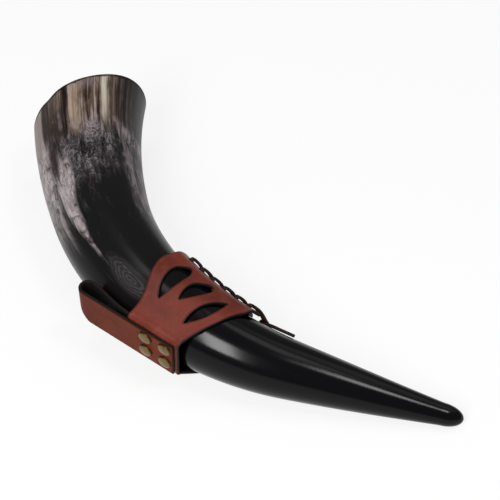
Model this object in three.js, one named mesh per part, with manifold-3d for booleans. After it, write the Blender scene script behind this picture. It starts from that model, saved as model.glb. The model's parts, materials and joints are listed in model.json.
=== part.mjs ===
// Drinking horn in a laced leather belt holder, lying on its side.
// Millimetres and degrees, +Z up.
// A station is a distance along the horn's axis, counted from the middle of the mouth.
import * as THREE from "three";
import { mergeVertices } from "three/addons/utils/BufferGeometryUtils.js";
import Module from "manifold-3d";

const wasm = await Module();
wasm.setup();

// Horn axis: three arcs, each tangent to the next, all bending to the same side
const MOUTH_ARC_LENGTH = 95.6;
const MOUTH_ARC_TURN = 14.2;
const BEND_ARC_LENGTH = 171;
const BEND_ARC_TURN = 58.1;
const TIP_ARC_LENGTH = 99.9;
const TIP_ARC_TURN = 2.5;

// Horn radii at the mouth, the three quarter points and the tip
const MOUTH_RADIUS = 37;
const THROAT_RADIUS = 31;
const MIDDLE_RADIUS = 25.4;
const TAPER_RADIUS = 16.9;
const TIP_RADIUS = 5.9;

// Rim plane, whose inner side of the bend is cut longer, and the hollow
const RIM_LEAN_INWARD = 23.7;
const RIM_LEAN_UP = 3.9;
const RIM_WALL = 3;
const CAVITY_DEPTH = 232;
const CAVITY_END_RADIUS = 6.5;
const WALL_GROWTH_POWER = 3;

// Holder: where it sits on the horn, and how far it is turned round the axis
const HOLDER_STATION = 198.8;
const HOLDER_TURN = 5;
const HORN_CLEARANCE = 0.4;
const LAYER_GAP = 0.2;

// Sleeve: leather sheet with a flat on the outside of the bend and laced edges on the inside
const SLEEVE_THICKNESS = 1.9;
const FLAT_LENGTH = 30.5;
const FLAT_MARGIN = 1.5;
const FLAT_TURN = 5.5;
const FLAT_SHIFT = 5.5;
const FLAT_CORNER_SOFTNESS = 0.3;
const LACED_EDGE_ANGLE = 26;
const MOUTH_EDGE_SWEEP = 14.3;
const MOUTH_EDGE_START_ANGLE = 30;
const MOUTH_EDGE_END_ANGLE = 112;
const TIP_EDGE_SWEEP = 25.9;
const TIP_EDGE_START_ANGLE = 30;
const LIFT_START_ANGLE = 48;
const LIFT_END_ANGLE = 80;

// Crescent cut-outs: angle from the middle of the flat, station from the middle of the holder
const CRESCENTS = [
  {
    point: [59.5, -9.6],
    mouthSide: [[78, -16.5], [112, -23]],
    end: [125, -13],
    tipSide: [[124, -7.5], [100, -7.2]],
  },
  {
    point: [74.5, -0.6],
    mouthSide: [[86, -3.2], [114, -5]],
    end: [125, 5],
    tipSide: [[126, 11.5], [104, 9.5]],
  },
  {
    point: [51.5, 10.2],
    mouthSide: [[68, 8.6], [94, 10.8]],
    end: [115, 21.9],
    tipSide: [[96, 22], [70, 18]],
  },
];

// Belt loop strap: one strip, folded, with one leg inside the sleeve and one outside
const STRAP_THICKNESS = 1.9;
const STRAP_WIDTH = 27.2;
const STRAP_END = 15.5;
const INNER_LEG_HEIGHT = 0.5;
const LOOP_START = -17.5;
const FOLD_END = -56;
const FOLD_DIP = 5.3;
const FOLD_SPREAD = 1.2;
const LOOP_EASE_OUT = 16;
const LOOP_EASE_IN = 9;

// Double-cap rivets, two rows of two
const RIVET_SPACING_ALONG = 13.9;
const RIVET_SPACING_ACROSS = 13;
const RIVET_SHIFT = 3.1;
const RIVET_RISE = 2.1;
const RIVET_CAP_DIAMETER = 9;
const RIVET_CAP_HEIGHT = 1.9;
const RIVET_CAP_EDGE = 0.6;
const RIVET_FLANGE_DIAMETER = 8.4;
const RIVET_FLANGE_THICKNESS = 0.7;
const RIVET_POST_DIAMETER = 3;
const RIVET_GRIP = 0.9;
const RIVET_CLEARANCE = 0.2;

// Lace: one cord, laced crosswise, its two ends twisted together and left as short tails
const LACE_DIAMETER = 2;
const LACE_CLEARANCE = 0.3;
const LACE_HOLE_CLEARANCE = 0.95;
const LACE_HOLE_ANGLE = 39;
const LACE_PAIRS = 6;
const LACE_FIRST_HOLE = -21;
const LACE_HOLE_PITCH = 10.6;
const KNOT_STATION = 43.6;
const KNOT_HALF_ANGLE = 13;
const KNOT_STEPS = 8;
const LACE_DIP_SHARE = 0.72;
const LACE_CROSSING_SHARE = 0.38;
const LACE_SLANT_POWER = 5;

// Lace tails: station past the knot, angle from the inside of the bend
const TAIL_ROUTE = [[4.8, 22], [14.4, 30], [22.8, 34]];

// Fineness of the facets
const HORN_SIDES = 32;
const HORN_RING_STEP = 12;
const CAVITY_RING_STEP = 14;
const ROUND_END_RINGS = 3;
const FLAT_COLUMNS = 4;
const SIDE_COLUMNS = 26;
const SLEEVE_ROWS = 6;
const STRAP_ROWS = 3;
const CURVE_STEPS = 6;
const HOLE_SIDES = 8;
const RIVET_SIDES = 14;
const LACE_SIDES = 6;
const LACE_STEP = 2.5;
const LACE_SAMPLES_PER_POINT = 4;
const CUTTER_REACH = 12;
const SETTLE_ROUNDS = 8;
const MERGE_DISTANCE = 1e-4;

const ARCS = [
  [MOUTH_ARC_LENGTH, THREE.MathUtils.degToRad(MOUTH_ARC_TURN)],
  [BEND_ARC_LENGTH, THREE.MathUtils.degToRad(BEND_ARC_TURN)],
  [TIP_ARC_LENGTH, THREE.MathUtils.degToRad(TIP_ARC_TURN)],
];
const HORN_LENGTH = MOUTH_ARC_LENGTH + BEND_ARC_LENGTH + TIP_ARC_LENGTH;
const HORN_RADII = [MOUTH_RADIUS, THROAT_RADIUS, MIDDLE_RADIUS, TAPER_RADIUS, TIP_RADIUS];
const UP = new THREE.Vector3(0, 0, 1);
const radians = THREE.MathUtils.degToRad;

const FLAT_WIDTH = STRAP_WIDTH + 2 * FLAT_MARGIN;
const FLAT_ANGLE = radians(180 + FLAT_TURN);
const RIM_CUTTER_SIZE = 4 * MOUTH_RADIUS;

// Heights above the horn of the lace under the leather, the lifted leather and the lace on top
const LACE_UNDER = LACE_CLEARANCE + LACE_DIAMETER / 2;
const SLEEVE_LIFT = LACE_DIAMETER + 2 * LACE_CLEARANCE;
const LACE_TOP = SLEEVE_LIFT + SLEEVE_THICKNESS + LACE_CLEARANCE + LACE_DIAMETER / 2;
const LACE_MIDDLE = (LACE_UNDER + LACE_TOP) / 2;

// Heights above the horn's outer line of the layers that the rivets hold together
const FLANGE_TOP = HORN_CLEARANCE + RIVET_FLANGE_THICKNESS;
const SLEEVE_HEIGHT = INNER_LEG_HEIGHT + STRAP_THICKNESS + LAYER_GAP;
const FRONT_LEG_HEIGHT = SLEEVE_HEIGHT + SLEEVE_THICKNESS + LAYER_GAP;
const CAP_HEIGHT = FRONT_LEG_HEIGHT + STRAP_THICKNESS + LAYER_GAP;

// Materials
const HORN_FINISH = new THREE.MeshStandardMaterial({ color: 0x1c181a, roughness: 0.22, metalness: 0 });
const SLEEVE_FINISH = new THREE.MeshStandardMaterial({ color: 0x7a3327, roughness: 0.5, metalness: 0 });
const STRAP_FINISH = new THREE.MeshStandardMaterial({ color: 0x683526, roughness: 0.55, metalness: 0 });
const RIVET_FINISH = new THREE.MeshStandardMaterial({ color: 0x85754a, roughness: 0.38, metalness: 1 });
const LACE_FINISH = new THREE.MeshStandardMaterial({ color: 0x261917, roughness: 0.75, metalness: 0 });

// Point and directions of the horn's axis at a station
function axisAt(station) {
  const point = new THREE.Vector3();
  let heading = 0;
  let rest = station;
  ARCS.forEach(([length, turn], index) => {
    const last = index === ARCS.length - 1;
    const step = last ? rest : Math.min(rest, length);
    const radius = length / turn;
    const next = heading + step / radius;
    point.x += radius * (Math.sin(next) - Math.sin(heading));
    point.y += radius * (Math.cos(heading) - Math.cos(next));
    heading = next;
    rest -= step;
  });
  const along = new THREE.Vector3(Math.cos(heading), Math.sin(heading), 0);
  const inward = new THREE.Vector3(-Math.sin(heading), Math.cos(heading), 0);
  return { point, along, inward };
}

// Radius of the horn at a station: a smooth curve through the five given radii
function radiusAt(station) {
  const spans = HORN_RADII.length - 1;
  const place = (station / HORN_LENGTH) * spans;
  const index = THREE.MathUtils.clamp(Math.floor(place), 0, spans - 1);
  const f = place - index;
  const slope = (i) => {
    const low = Math.max(i - 1, 0);
    const high = Math.min(i + 1, spans);
    return (HORN_RADII[high] - HORN_RADII[low]) / (high - low);
  };
  const a = HORN_RADII[index];
  const b = HORN_RADII[index + 1];
  const m = slope(index);
  const n = slope(index + 1);
  return a + m * f + (3 * (b - a) - 2 * m - n) * f ** 2 + (2 * (a - b) + m + n) * f ** 3;
}

// Radius of the hollow: the wall grows from the rim to the end of the hollow
function cavityRadiusAt(station) {
  const endWall = radiusAt(CAVITY_DEPTH) - CAVITY_END_RADIUS;
  const share = Math.max(station, 0) / CAVITY_DEPTH;
  return radiusAt(station) - THREE.MathUtils.lerp(RIM_WALL, endWall, share ** WALL_GROWTH_POWER);
}

// Directions of the holder at a station: the horn's own, turned round its axis
function holderAt(station) {
  const { point, along, inward } = axisAt(station);
  const turn = radians(HOLDER_TURN);
  const side = inward.clone().applyAxisAngle(along, turn);
  const up = UP.clone().applyAxisAngle(along, turn);
  return { point, along, side, up };
}

// Point over the horn at a station, an angle round it and a height above its surface
function overHorn(station, degrees, height) {
  const { point, side, up } = holderAt(station);
  const reach = radiusAt(station) + height;
  point.addScaledVector(side, reach * Math.cos(radians(degrees)));
  return point.addScaledVector(up, reach * Math.sin(radians(degrees)));
}

// Closed solid from a list of rings, each with the same number of points
function skinRings(rings) {
  const sides = rings[0].length;
  const points = rings.flat();
  const index = [];
  for (let k = 0; k < rings.length - 1; k += 1) {
    for (let j = 0; j < sides; j += 1) {
      const a = k * sides + j;
      const b = k * sides + ((j + 1) % sides);
      index.push(a, b, a + sides, b, b + sides, a + sides);
    }
  }
  const firstMiddle = points.push(middleOf(rings[0])) - 1;
  const lastMiddle = points.push(middleOf(rings.at(-1))) - 1;
  const last = (rings.length - 1) * sides;
  for (let j = 0; j < sides; j += 1) {
    const next = (j + 1) % sides;
    index.push(firstMiddle, next, j);
    index.push(lastMiddle, last + j, last + next);
  }
  return meshFrom(points, index);
}

function middleOf(ring) {
  const sum = new THREE.Vector3();
  ring.forEach((point) => sum.add(point));
  return sum.divideScalar(ring.length);
}

function meshFrom(points, index) {
  const geometry = new THREE.BufferGeometry().setFromPoints(points);
  geometry.setIndex(index);
  return geometry;
}

// Solids for cutting, and their way back to geometry
function mergedPoints(geometry) {
  const bare = new THREE.BufferGeometry();
  bare.setAttribute("position", geometry.getAttribute("position"));
  bare.setIndex(geometry.getIndex());
  return mergeVertices(bare, MERGE_DISTANCE);
}

function toSolid(geometry) {
  const merged = mergedPoints(geometry);
  const vertProperties = new Float32Array(merged.getAttribute("position").array);
  const triVerts = new Uint32Array(merged.getIndex().array);
  return new wasm.Manifold(new wasm.Mesh({ numProp: 3, vertProperties, triVerts }));
}

function toGeometry(solid) {
  const { vertProperties, triVerts } = solid.getMesh();
  const geometry = new THREE.BufferGeometry();
  geometry.setAttribute("position", new THREE.BufferAttribute(new Float32Array(vertProperties), 3));
  geometry.setIndex(new THREE.BufferAttribute(new Uint32Array(triVerts), 1));
  geometry.computeVertexNormals();
  return geometry;
}

function cut(geometry, cutters) {
  return toGeometry(cutters.reduce((solid, cutter) => solid.subtract(toSolid(cutter)), toSolid(geometry)));
}

// Horn shell
function hornRing(station, radius) {
  const { point, inward } = axisAt(station);
  return Array.from({ length: HORN_SIDES }, (_, j) => {
    const angle = (2 * Math.PI * j) / HORN_SIDES;
    const spoke = inward.clone().multiplyScalar(radius * Math.cos(angle));
    return spoke.addScaledVector(UP, radius * Math.sin(angle)).add(point);
  });
}

function roundEnd(station, radius) {
  return Array.from({ length: ROUND_END_RINGS - 1 }, (_, k) => {
    const angle = ((k + 1) / ROUND_END_RINGS) * (Math.PI / 2);
    return hornRing(station + radius * Math.sin(angle), radius * Math.cos(angle));
  });
}

function hornTube(start, end, step, radiusOf) {
  const count = Math.ceil((end - start) / step);
  const rings = Array.from({ length: count + 1 }, (_, k) => {
    const station = start + ((end - start) * k) / count;
    return hornRing(station, radiusOf(station));
  });
  return skinRings([...rings, ...roundEnd(end, radiusOf(end))]);
}

function rimCutter() {
  const size = RIM_CUTTER_SIZE;
  const { along, inward } = axisAt(0);
  const outward = along.clone().negate();
  outward.addScaledVector(inward, -Math.tan(radians(RIM_LEAN_INWARD)));
  outward.addScaledVector(UP, Math.tan(radians(RIM_LEAN_UP))).normalize();
  const block = new THREE.BoxGeometry(size, size, size).translate(0, 0, size / 2);
  return block.applyQuaternion(new THREE.Quaternion().setFromUnitVectors(UP, outward));
}

function hornShell() {
  const overrun = MOUTH_RADIUS;
  const outside = hornTube(-overrun, HORN_LENGTH, HORN_RING_STEP, radiusAt);
  const inside = hornTube(-overrun - RIM_WALL, CAVITY_DEPTH, CAVITY_RING_STEP, cavityRadiusAt);
  return cut(outside, [inside, rimCutter()]);
}

// Flat of the holder: a plane along the horn's outer line, x to the tip and y outward.
// Its middle lies above the line where it comes nearest to the horn.
function outerLine(station) {
  return overHorn(station, 180 + FLAT_TURN, 0);
}

function flatSpoke(station) {
  const { side, up } = holderAt(station);
  return side.multiplyScalar(Math.cos(FLAT_ANGLE)).addScaledVector(up, Math.sin(FLAT_ANGLE));
}

const flatFrame = (() => {
  const along = outerLine(HOLDER_STATION + 1).sub(outerLine(HOLDER_STATION - 1)).normalize();
  const across = along.clone().cross(flatSpoke(HOLDER_STATION)).normalize();
  const outward = across.clone().cross(along);
  const frame = new THREE.Matrix4().makeBasis(along, outward, across);
  return frame.setPosition(outerLine(HOLDER_STATION).addScaledVector(across, -FLAT_SHIFT));
})();

const flatOutward = new THREE.Vector3().setFromMatrixColumn(flatFrame, 1);
const flatOrigin = new THREE.Vector3().setFromMatrixPosition(flatFrame);

// Distance from the horn's axis to the inner face of the sleeve's flat
function flatReach(station) {
  const { point } = holderAt(station);
  return (SLEEVE_HEIGHT - point.sub(flatOrigin).dot(flatOutward)) / flatSpoke(station).dot(flatOutward);
}

// Corner of the flat on its upper or lower side: its distance from the axis and angle from the flat's spoke
function flatCorner(station, upper) {
  const half = FLAT_WIDTH / 2 + (upper ? FLAT_SHIFT : -FLAT_SHIFT);
  const flat = flatReach(station);
  return { reach: Math.hypot(flat, half), turn: Math.atan2(half, flat) };
}

// Distance from the horn's axis to the inner face of the sleeve: round over the horn,
// straight to the corner of the flat, and flat
function sleeveReach(station, angle) {
  const radius = radiusAt(station);
  const fromLace = Math.PI - Math.abs(Math.PI - angle);
  const lift = 1 - THREE.MathUtils.smoothstep(fromLace, radians(LIFT_START_ANGLE), radians(LIFT_END_ANGLE));
  const round = radius + THREE.MathUtils.lerp(HORN_CLEARANCE, SLEEVE_LIFT, lift);
  const fromFlat = Math.abs(FLAT_ANGLE - angle);
  const corner = flatCorner(station, angle < FLAT_ANGLE);
  const leaveAngle = corner.turn + Math.acos((radius + HORN_CLEARANCE) / corner.reach);
  if (fromFlat >= leaveAngle) return round;
  const straight = (radius + HORN_CLEARANCE) / Math.cos(fromFlat - leaveAngle);
  const level = fromFlat < Math.PI / 2 ? flatReach(station) / Math.cos(fromFlat) : Infinity;
  const soft = FLAT_CORNER_SOFTNESS;
  const rounding = soft * Math.log1p(Math.exp(-Math.abs(straight - level) / soft));
  return Math.min(straight, level) - rounding;
}

// Point of the sleeve at a station, an angle round the horn and a height over its inner face
function sleevePoint(station, angle, height) {
  const { point, side, up } = holderAt(station);
  const corner = (a) => {
    const reach = sleeveReach(station, a);
    return new THREE.Vector2(reach * Math.cos(a), reach * Math.sin(a));
  };
  const nudge = 1e-3;
  const here = corner(angle);
  const run = corner(angle + nudge).sub(corner(angle - nudge)).normalize();
  here.x += run.y * height;
  here.y -= run.x * height;
  return point.addScaledVector(side, here.x).addScaledVector(up, here.y);
}

// Stations of the sleeve's two cut edges at an angle from the middle of the flat
function mouthEdge(fromFlat) {
  const [start, end] = [MOUTH_EDGE_START_ANGLE, MOUTH_EDGE_END_ANGLE].map(radians);
  const share = THREE.MathUtils.smoothstep(fromFlat, start, end);
  return HOLDER_STATION - FLAT_LENGTH / 2 - MOUTH_EDGE_SWEEP * share;
}

function tipEdge(fromFlat) {
  const start = radians(TIP_EDGE_START_ANGLE);
  const share = Math.max(fromFlat - start, 0) / (Math.PI - radians(LACED_EDGE_ANGLE) - start);
  return HOLDER_STATION + FLAT_LENGTH / 2 + TIP_EDGE_SWEEP * share;
}

// Closed sheet over a grid: point(column, row, layer), layer 0 inside and 1 outside
function closedSheet(columns, rows, pointOf) {
  const points = [];
  const index = [];
  for (let i = 0; i <= columns; i += 1) {
    for (let j = 0; j <= rows; j += 1) points.push(pointOf(i, j, 0), pointOf(i, j, 1));
  }
  const at = (i, j, layer) => 2 * (i * (rows + 1) + j) + layer;
  const quad = (a, b, c, d) => index.push(a, b, c, a, c, d);
  for (let i = 0; i < columns; i += 1) {
    for (let j = 0; j < rows; j += 1) {
      quad(at(i, j, 1), at(i + 1, j, 1), at(i + 1, j + 1, 1), at(i, j + 1, 1));
      quad(at(i, j, 0), at(i, j + 1, 0), at(i + 1, j + 1, 0), at(i + 1, j, 0));
    }
    quad(at(i, 0, 0), at(i + 1, 0, 0), at(i + 1, 0, 1), at(i, 0, 1));
    quad(at(i, rows, 0), at(i, rows, 1), at(i + 1, rows, 1), at(i + 1, rows, 0));
  }
  for (let j = 0; j < rows; j += 1) {
    quad(at(0, j, 0), at(0, j, 1), at(0, j + 1, 1), at(0, j + 1, 0));
    quad(at(columns, j, 0), at(columns, j + 1, 0), at(columns, j + 1, 1), at(columns, j, 1));
  }
  return meshFrom(points, index);
}

// Angle of a column of the sheet, counted both ways from the flat's spoke, with a column on each corner
function columnAngle(column, station) {
  const way = Math.sign(column);
  const count = Math.abs(column);
  const corner = FLAT_ANGLE + way * flatCorner(station, way < 0).turn;
  if (count <= FLAT_COLUMNS) return THREE.MathUtils.lerp(FLAT_ANGLE, corner, count / FLAT_COLUMNS);
  const edge = Math.PI + way * (Math.PI - radians(LACED_EDGE_ANGLE));
  return THREE.MathUtils.lerp(corner, edge, (count - FLAT_COLUMNS) / SIDE_COLUMNS);
}

function sleeveBlank() {
  const half = FLAT_COLUMNS + SIDE_COLUMNS;
  return closedSheet(2 * half, SLEEVE_ROWS, (i, j, layer) => {
    const fromFlat = Math.abs(Math.PI - columnAngle(i - half, HOLDER_STATION));
    const station = THREE.MathUtils.lerp(mouthEdge(fromFlat), tipEdge(fromFlat), j / SLEEVE_ROWS);
    return sleevePoint(station, columnAngle(i - half, station), layer * SLEEVE_THICKNESS);
  });
}

// Cutter through the sleeve: an outline in angle from the flat and station, run through the leather
function sleeveCutter(outline, near) {
  const settings = { depth: 1, bevelEnabled: false, curveSegments: CURVE_STEPS };
  const prism = new THREE.ExtrudeGeometry(outline, settings);
  const position = prism.getAttribute("position");
  for (let k = 0; k < position.count; k += 1) {
    const fromFlat = radians(position.getX(k));
    const angle = near ? Math.PI - fromFlat : Math.PI + fromFlat;
    const height = THREE.MathUtils.lerp(-SLEEVE_THICKNESS, CUTTER_REACH, position.getZ(k));
    const point = sleevePoint(HOLDER_STATION + position.getY(k), angle, height);
    position.setXYZ(k, point.x, point.y, point.z);
  }
  return near ? flipFaces(prism) : prism;
}

function flipFaces(geometry) {
  const merged = mergedPoints(geometry);
  const index = Array.from(merged.getIndex().array);
  merged.setIndex(index.map((_, k) => index[k - (k % 3) + (2 - (k % 3))]));
  return merged;
}

function crescentOutline({ point, mouthSide, end, tipSide }) {
  const outline = new THREE.Shape();
  outline.moveTo(...point);
  outline.bezierCurveTo(...mouthSide.flat(), ...end);
  outline.bezierCurveTo(...tipSide.flat(), ...point);
  return outline;
}

// Round hole of a given radius at an angle and a station of the sleeve
function holeOutline(fromFlat, station, radius) {
  const degree = radians(1) * (radiusAt(HOLDER_STATION + station) + SLEEVE_LIFT);
  return new THREE.Shape(Array.from({ length: HOLE_SIDES }, (_, k) => {
    const angle = (2 * Math.PI * k) / HOLE_SIDES;
    const aside = (radius / degree) * Math.cos(angle);
    return new THREE.Vector2(fromFlat + aside, station + radius * Math.sin(angle));
  }));
}

function laceStation(pair) {
  return LACE_FIRST_HOLE + LACE_HOLE_PITCH * pair;
}

// Rivets stand on the flat: x along, height outward, z across
const RIVET_PLACES = [-1, 1].flatMap((row) =>
  [-1, 1].map((line) => [
    RIVET_SHIFT + (row * RIVET_SPACING_ALONG) / 2,
    (line * RIVET_SPACING_ACROSS) / 2 - RIVET_RISE,
  ]),
);

function onFlat(geometry, x = 0, height = 0, z = 0) {
  return geometry.translate(x, height, z).applyMatrix4(flatFrame);
}

function rivetHoleCutters(low, high) {
  const radius = RIVET_POST_DIAMETER / 2 + RIVET_CLEARANCE;
  return RIVET_PLACES.map(([x, z]) => {
    const drill = new THREE.CylinderGeometry(radius, radius, high - low, RIVET_SIDES);
    return onFlat(drill, x, (low + high) / 2, z);
  });
}

function sleeve() {
  const holeRadius = LACE_DIAMETER / 2 + LACE_HOLE_CLEARANCE;
  const holes = Array.from({ length: LACE_PAIRS }, (_, pair) =>
    holeOutline(180 - LACE_HOLE_ANGLE, laceStation(pair), holeRadius),
  );
  const outlines = [...CRESCENTS.map(crescentOutline), ...holes];
  const cutters = outlines.flatMap((outline) => [true, false].map((near) => sleeveCutter(outline, near)));
  const low = SLEEVE_HEIGHT - LAYER_GAP / 2;
  return cut(sleeveBlank(), [...cutters, ...rivetHoleCutters(low, low + SLEEVE_THICKNESS + LAYER_GAP)]);
}

// Middle line of the strap at a place across it, from the end of its inner leg round the fold to the end
// of its front leg. The fold is wider at the lower edge.
function strapLine(z) {
  const inner = INNER_LEG_HEIGHT + STRAP_THICKNESS / 2;
  const front = FRONT_LEG_HEIGHT + STRAP_THICKNESS / 2;
  const low = inner - FOLD_DIP - FOLD_SPREAD * (z / STRAP_WIDTH);
  const foldRadius = (front - low) / 2;
  const foldCentre = FOLD_END + foldRadius + STRAP_THICKNESS / 2;
  const line = new THREE.Path();
  line.moveTo(STRAP_END, inner);
  line.lineTo(LOOP_START, inner);
  line.bezierCurveTo(
    LOOP_START - LOOP_EASE_OUT, inner,
    foldCentre + LOOP_EASE_IN, low,
    foldCentre, low,
  );
  line.absarc(foldCentre, low + foldRadius, foldRadius, -Math.PI / 2, -1.5 * Math.PI, true);
  line.lineTo(STRAP_END, front);
  const apart = (point, k, all) => k === 0 || point.distanceTo(all[k - 1]) > MERGE_DISTANCE;
  return line.getPoints(CURVE_STEPS).filter(apart);
}

// Line beside a line, at an even distance to its right
function besideLine(line, reach) {
  return line.map((point, k) => {
    const before = line[Math.max(k - 1, 0)];
    const after = line[Math.min(k + 1, line.length - 1)];
    const run = after.clone().sub(before).normalize();
    return new THREE.Vector2(point.x + run.y * reach, point.y - run.x * reach);
  });
}

function strap() {
  const half = STRAP_THICKNESS / 2;
  const rows = Array.from({ length: STRAP_ROWS + 1 }, (_, j) => {
    const z = STRAP_WIDTH * (j / STRAP_ROWS - 0.5);
    return { z, layers: [-half, half].map((reach) => besideLine(strapLine(z), reach)) };
  });
  const columns = rows[0].layers[0].length - 1;
  const strip = closedSheet(columns, STRAP_ROWS, (i, j, layer) => {
    const { x, y } = rows[j].layers[layer][i];
    return new THREE.Vector3(x, y, rows[j].z);
  });
  const recessTop = FLANGE_TOP + LAYER_GAP;
  const recessRadius = RIVET_FLANGE_DIAMETER / 2 + RIVET_CLEARANCE;
  const recesses = RIVET_PLACES.map(([x, z]) => {
    const drill = new THREE.CylinderGeometry(recessRadius, recessRadius, recessTop, RIVET_SIDES);
    return onFlat(drill, x, recessTop / 2, z);
  });
  return cut(onFlat(strip), [...rivetHoleCutters(0, CAP_HEIGHT), ...recesses]);
}

// Rivet post with its flange against the inner leg, and the domed cap that it grips
function rivetPost() {
  const post = RIVET_POST_DIAMETER / 2;
  const flange = RIVET_FLANGE_DIAMETER / 2;
  const top = CAP_HEIGHT + RIVET_GRIP;
  const profile = [[0, HORN_CLEARANCE], [flange, HORN_CLEARANCE], [flange, FLANGE_TOP], [post, FLANGE_TOP]];
  profile.push([post, top], [0, top]);
  return new THREE.LatheGeometry(profile.map(([x, y]) => new THREE.Vector2(x, y)), RIVET_SIDES);
}

function rivetCap() {
  const bore = RIVET_POST_DIAMETER / 2 + RIVET_CLEARANCE;
  const boreTop = RIVET_GRIP + RIVET_CLEARANCE;
  const radius = RIVET_CAP_DIAMETER / 2;
  const rise = RIVET_CAP_HEIGHT - RIVET_CAP_EDGE;
  const profile = [[0, boreTop], [bore, boreTop], [bore, 0], [radius, 0]];
  const steps = ROUND_END_RINGS;
  for (let k = 0; k <= steps; k += 1) {
    const angle = (k / steps) * (Math.PI / 2);
    profile.push([radius * Math.cos(angle), RIVET_CAP_EDGE + rise * Math.sin(angle)]);
  }
  profile.at(-1)[0] = 0;
  return new THREE.LatheGeometry(profile.map(([x, y]) => new THREE.Vector2(x, y)), RIVET_SIDES);
}

// Half of the lace's turn through a hole, as angles short of the hole and heights from its middle
function holeTurn(station) {
  const rise = (LACE_TOP - LACE_UNDER) / 2;
  const bend = THREE.MathUtils.radToDeg(rise / (radiusAt(station) + LACE_UNDER + rise));
  const share = 1 - Math.SQRT1_2;
  return [[bend * share, rise * (1 - share)], [bend, rise]];
}

// One crossing of the lace: out of a hole, over the leather, across the gap and under the other side.
// The cord from the upper panel runs low in the gap and the cord from the lower panel runs over it.
function lacePass(pair, side) {
  const start = HOLDER_STATION + laceStation(pair);
  const turn = holeTurn(start);
  const low = LACE_UNDER;
  const over = LACE_UNDER + LACE_DIAMETER + 2 * LACE_CLEARANCE;
  const slack = LACE_CLEARANCE;
  const dip = LACE_DIP_SHARE;
  const by = LACE_CROSSING_SHARE;
  const gap = side > 0
    ? [[dip, LACE_MIDDLE + slack], [by, low + slack], [0, low], [-by, low], [-1, low]]
    : [[dip, LACE_TOP], [by, over + slack], [0, over], [-by, over - slack], [-1, low]];
  const hole = LACE_HOLE_ANGLE;
  const route = [
    [hole, LACE_MIDDLE],
    ...turn.map(([short, rise]) => [hole - short, LACE_MIDDLE + rise]),
    [LACED_EDGE_ANGLE, LACE_TOP],
    ...gap.map(([place, height]) => [place * LACED_EDGE_ANGLE, height]),
    ...turn.toReversed().map(([short, rise]) => [short - hole, LACE_MIDDLE - rise]),
  ];
  const free = hole - turn.at(-1)[0];
  return route.map(([angle, height]) => {
    const rest = Math.min((hole + angle) / (hole + free), 1) ** LACE_SLANT_POWER;
    return overHorn(start + LACE_HOLE_PITCH * (1 - rest), side * angle, height);
  });
}

// End of one thread: out of the last hole, round the other end in a twist, and off as a tail
function laceEnd(side) {
  const start = HOLDER_STATION + laceStation(LACE_PAIRS - 1);
  const knot = HOLDER_STATION + KNOT_STATION;
  const twist = LACE_DIAMETER / 2 + LACE_CLEARANCE;
  const middle = LACE_UNDER + twist;
  const points = [
    overHorn(start, side * LACE_HOLE_ANGLE, LACE_MIDDLE),
    ...holeTurn(start).map(([short, rise]) =>
      overHorn(start, side * (LACE_HOLE_ANGLE - short), LACE_MIDDLE + rise),
    ),
    overHorn((start + knot) / 2, side * LACED_EDGE_ANGLE, LACE_TOP),
  ];
  for (let k = 0; k <= KNOT_STEPS; k += 1) {
    const share = k / KNOT_STEPS;
    const angle = 2 * Math.PI * share + (side > 0 ? 0 : Math.PI);
    const place = side * KNOT_HALF_ANGLE * (1 - 2 * share);
    points.push(overHorn(knot + side * twist * Math.sin(angle), place, middle + twist * Math.cos(angle)));
  }
  return [...points, ...laceTail(knot, -side)];
}

function laceTail(knot, side) {
  const height = LACE_UNDER + LACE_CLEARANCE;
  return TAIL_ROUTE.map(([past, angle]) => overHorn(knot + past, side * angle, height));
}

function laceThread(side) {
  const points = [];
  let at = side;
  for (let pair = 0; pair < LACE_PAIRS - 1; pair += 1) {
    points.push(...lacePass(pair, at));
    at = -at;
  }
  return [...points, ...laceEnd(at)];
}

function laceRoute() {
  const start = HOLDER_STATION + LACE_FIRST_HOLE;
  const rise = holeTurn(start).map(([short, drop]) => [LACE_HOLE_ANGLE - short, LACE_MIDDLE - drop]);
  const half = [...rise, [LACED_EDGE_ANGLE, LACE_UNDER], [LACED_EDGE_ANGLE / 3, LACE_UNDER]];
  const lower = half.map(([angle, height]) => overHorn(start, -angle, height));
  const upper = half.map(([angle, height]) => overHorn(start, angle, height));
  return [...laceThread(-1).reverse(), ...lower, ...upper.reverse(), ...laceThread(1)];
}

function lace() {
  const path = new THREE.CatmullRomCurve3(laceRoute());
  const section = new THREE.Shape();
  for (let k = 0; k < LACE_SIDES; k += 1) {
    const angle = (2 * Math.PI * k) / LACE_SIDES;
    const [x, y] = [Math.cos(angle), Math.sin(angle)].map((value) => (value * LACE_DIAMETER) / 2);
    if (k === 0) section.moveTo(x, y);
    else section.lineTo(x, y);
  }
  path.arcLengthDivisions = LACE_SAMPLES_PER_POINT * path.points.length;
  const steps = Math.round(path.getLength() / LACE_STEP);
  return new THREE.ExtrudeGeometry(section, { steps, extrudePath: path, bevelEnabled: false });
}

// Assembly in the horn's own plane
function piece(name, geometry, material) {
  const mesh = new THREE.Mesh(geometry, material);
  mesh.name = name;
  return mesh;
}

const assembly = new THREE.Group();
const hornMesh = piece("horn_shell", hornShell(), HORN_FINISH);
const sleeveMesh = piece("holder_sleeve", sleeve(), SLEEVE_FINISH);
assembly.add(hornMesh, sleeveMesh);
assembly.add(piece("belt_loop_strap", strap(), STRAP_FINISH));
RIVET_PLACES.forEach(([x, z], k) => {
  assembly.add(piece(`rivet_post_${k + 1}`, onFlat(rivetPost(), x, 0, z), RIVET_FINISH));
  assembly.add(piece(`rivet_cap_${k + 1}`, onFlat(rivetCap(), x, CAP_HEIGHT, z), RIVET_FINISH));
});
assembly.add(piece("lace", lace(), LACE_FINISH));

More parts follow.
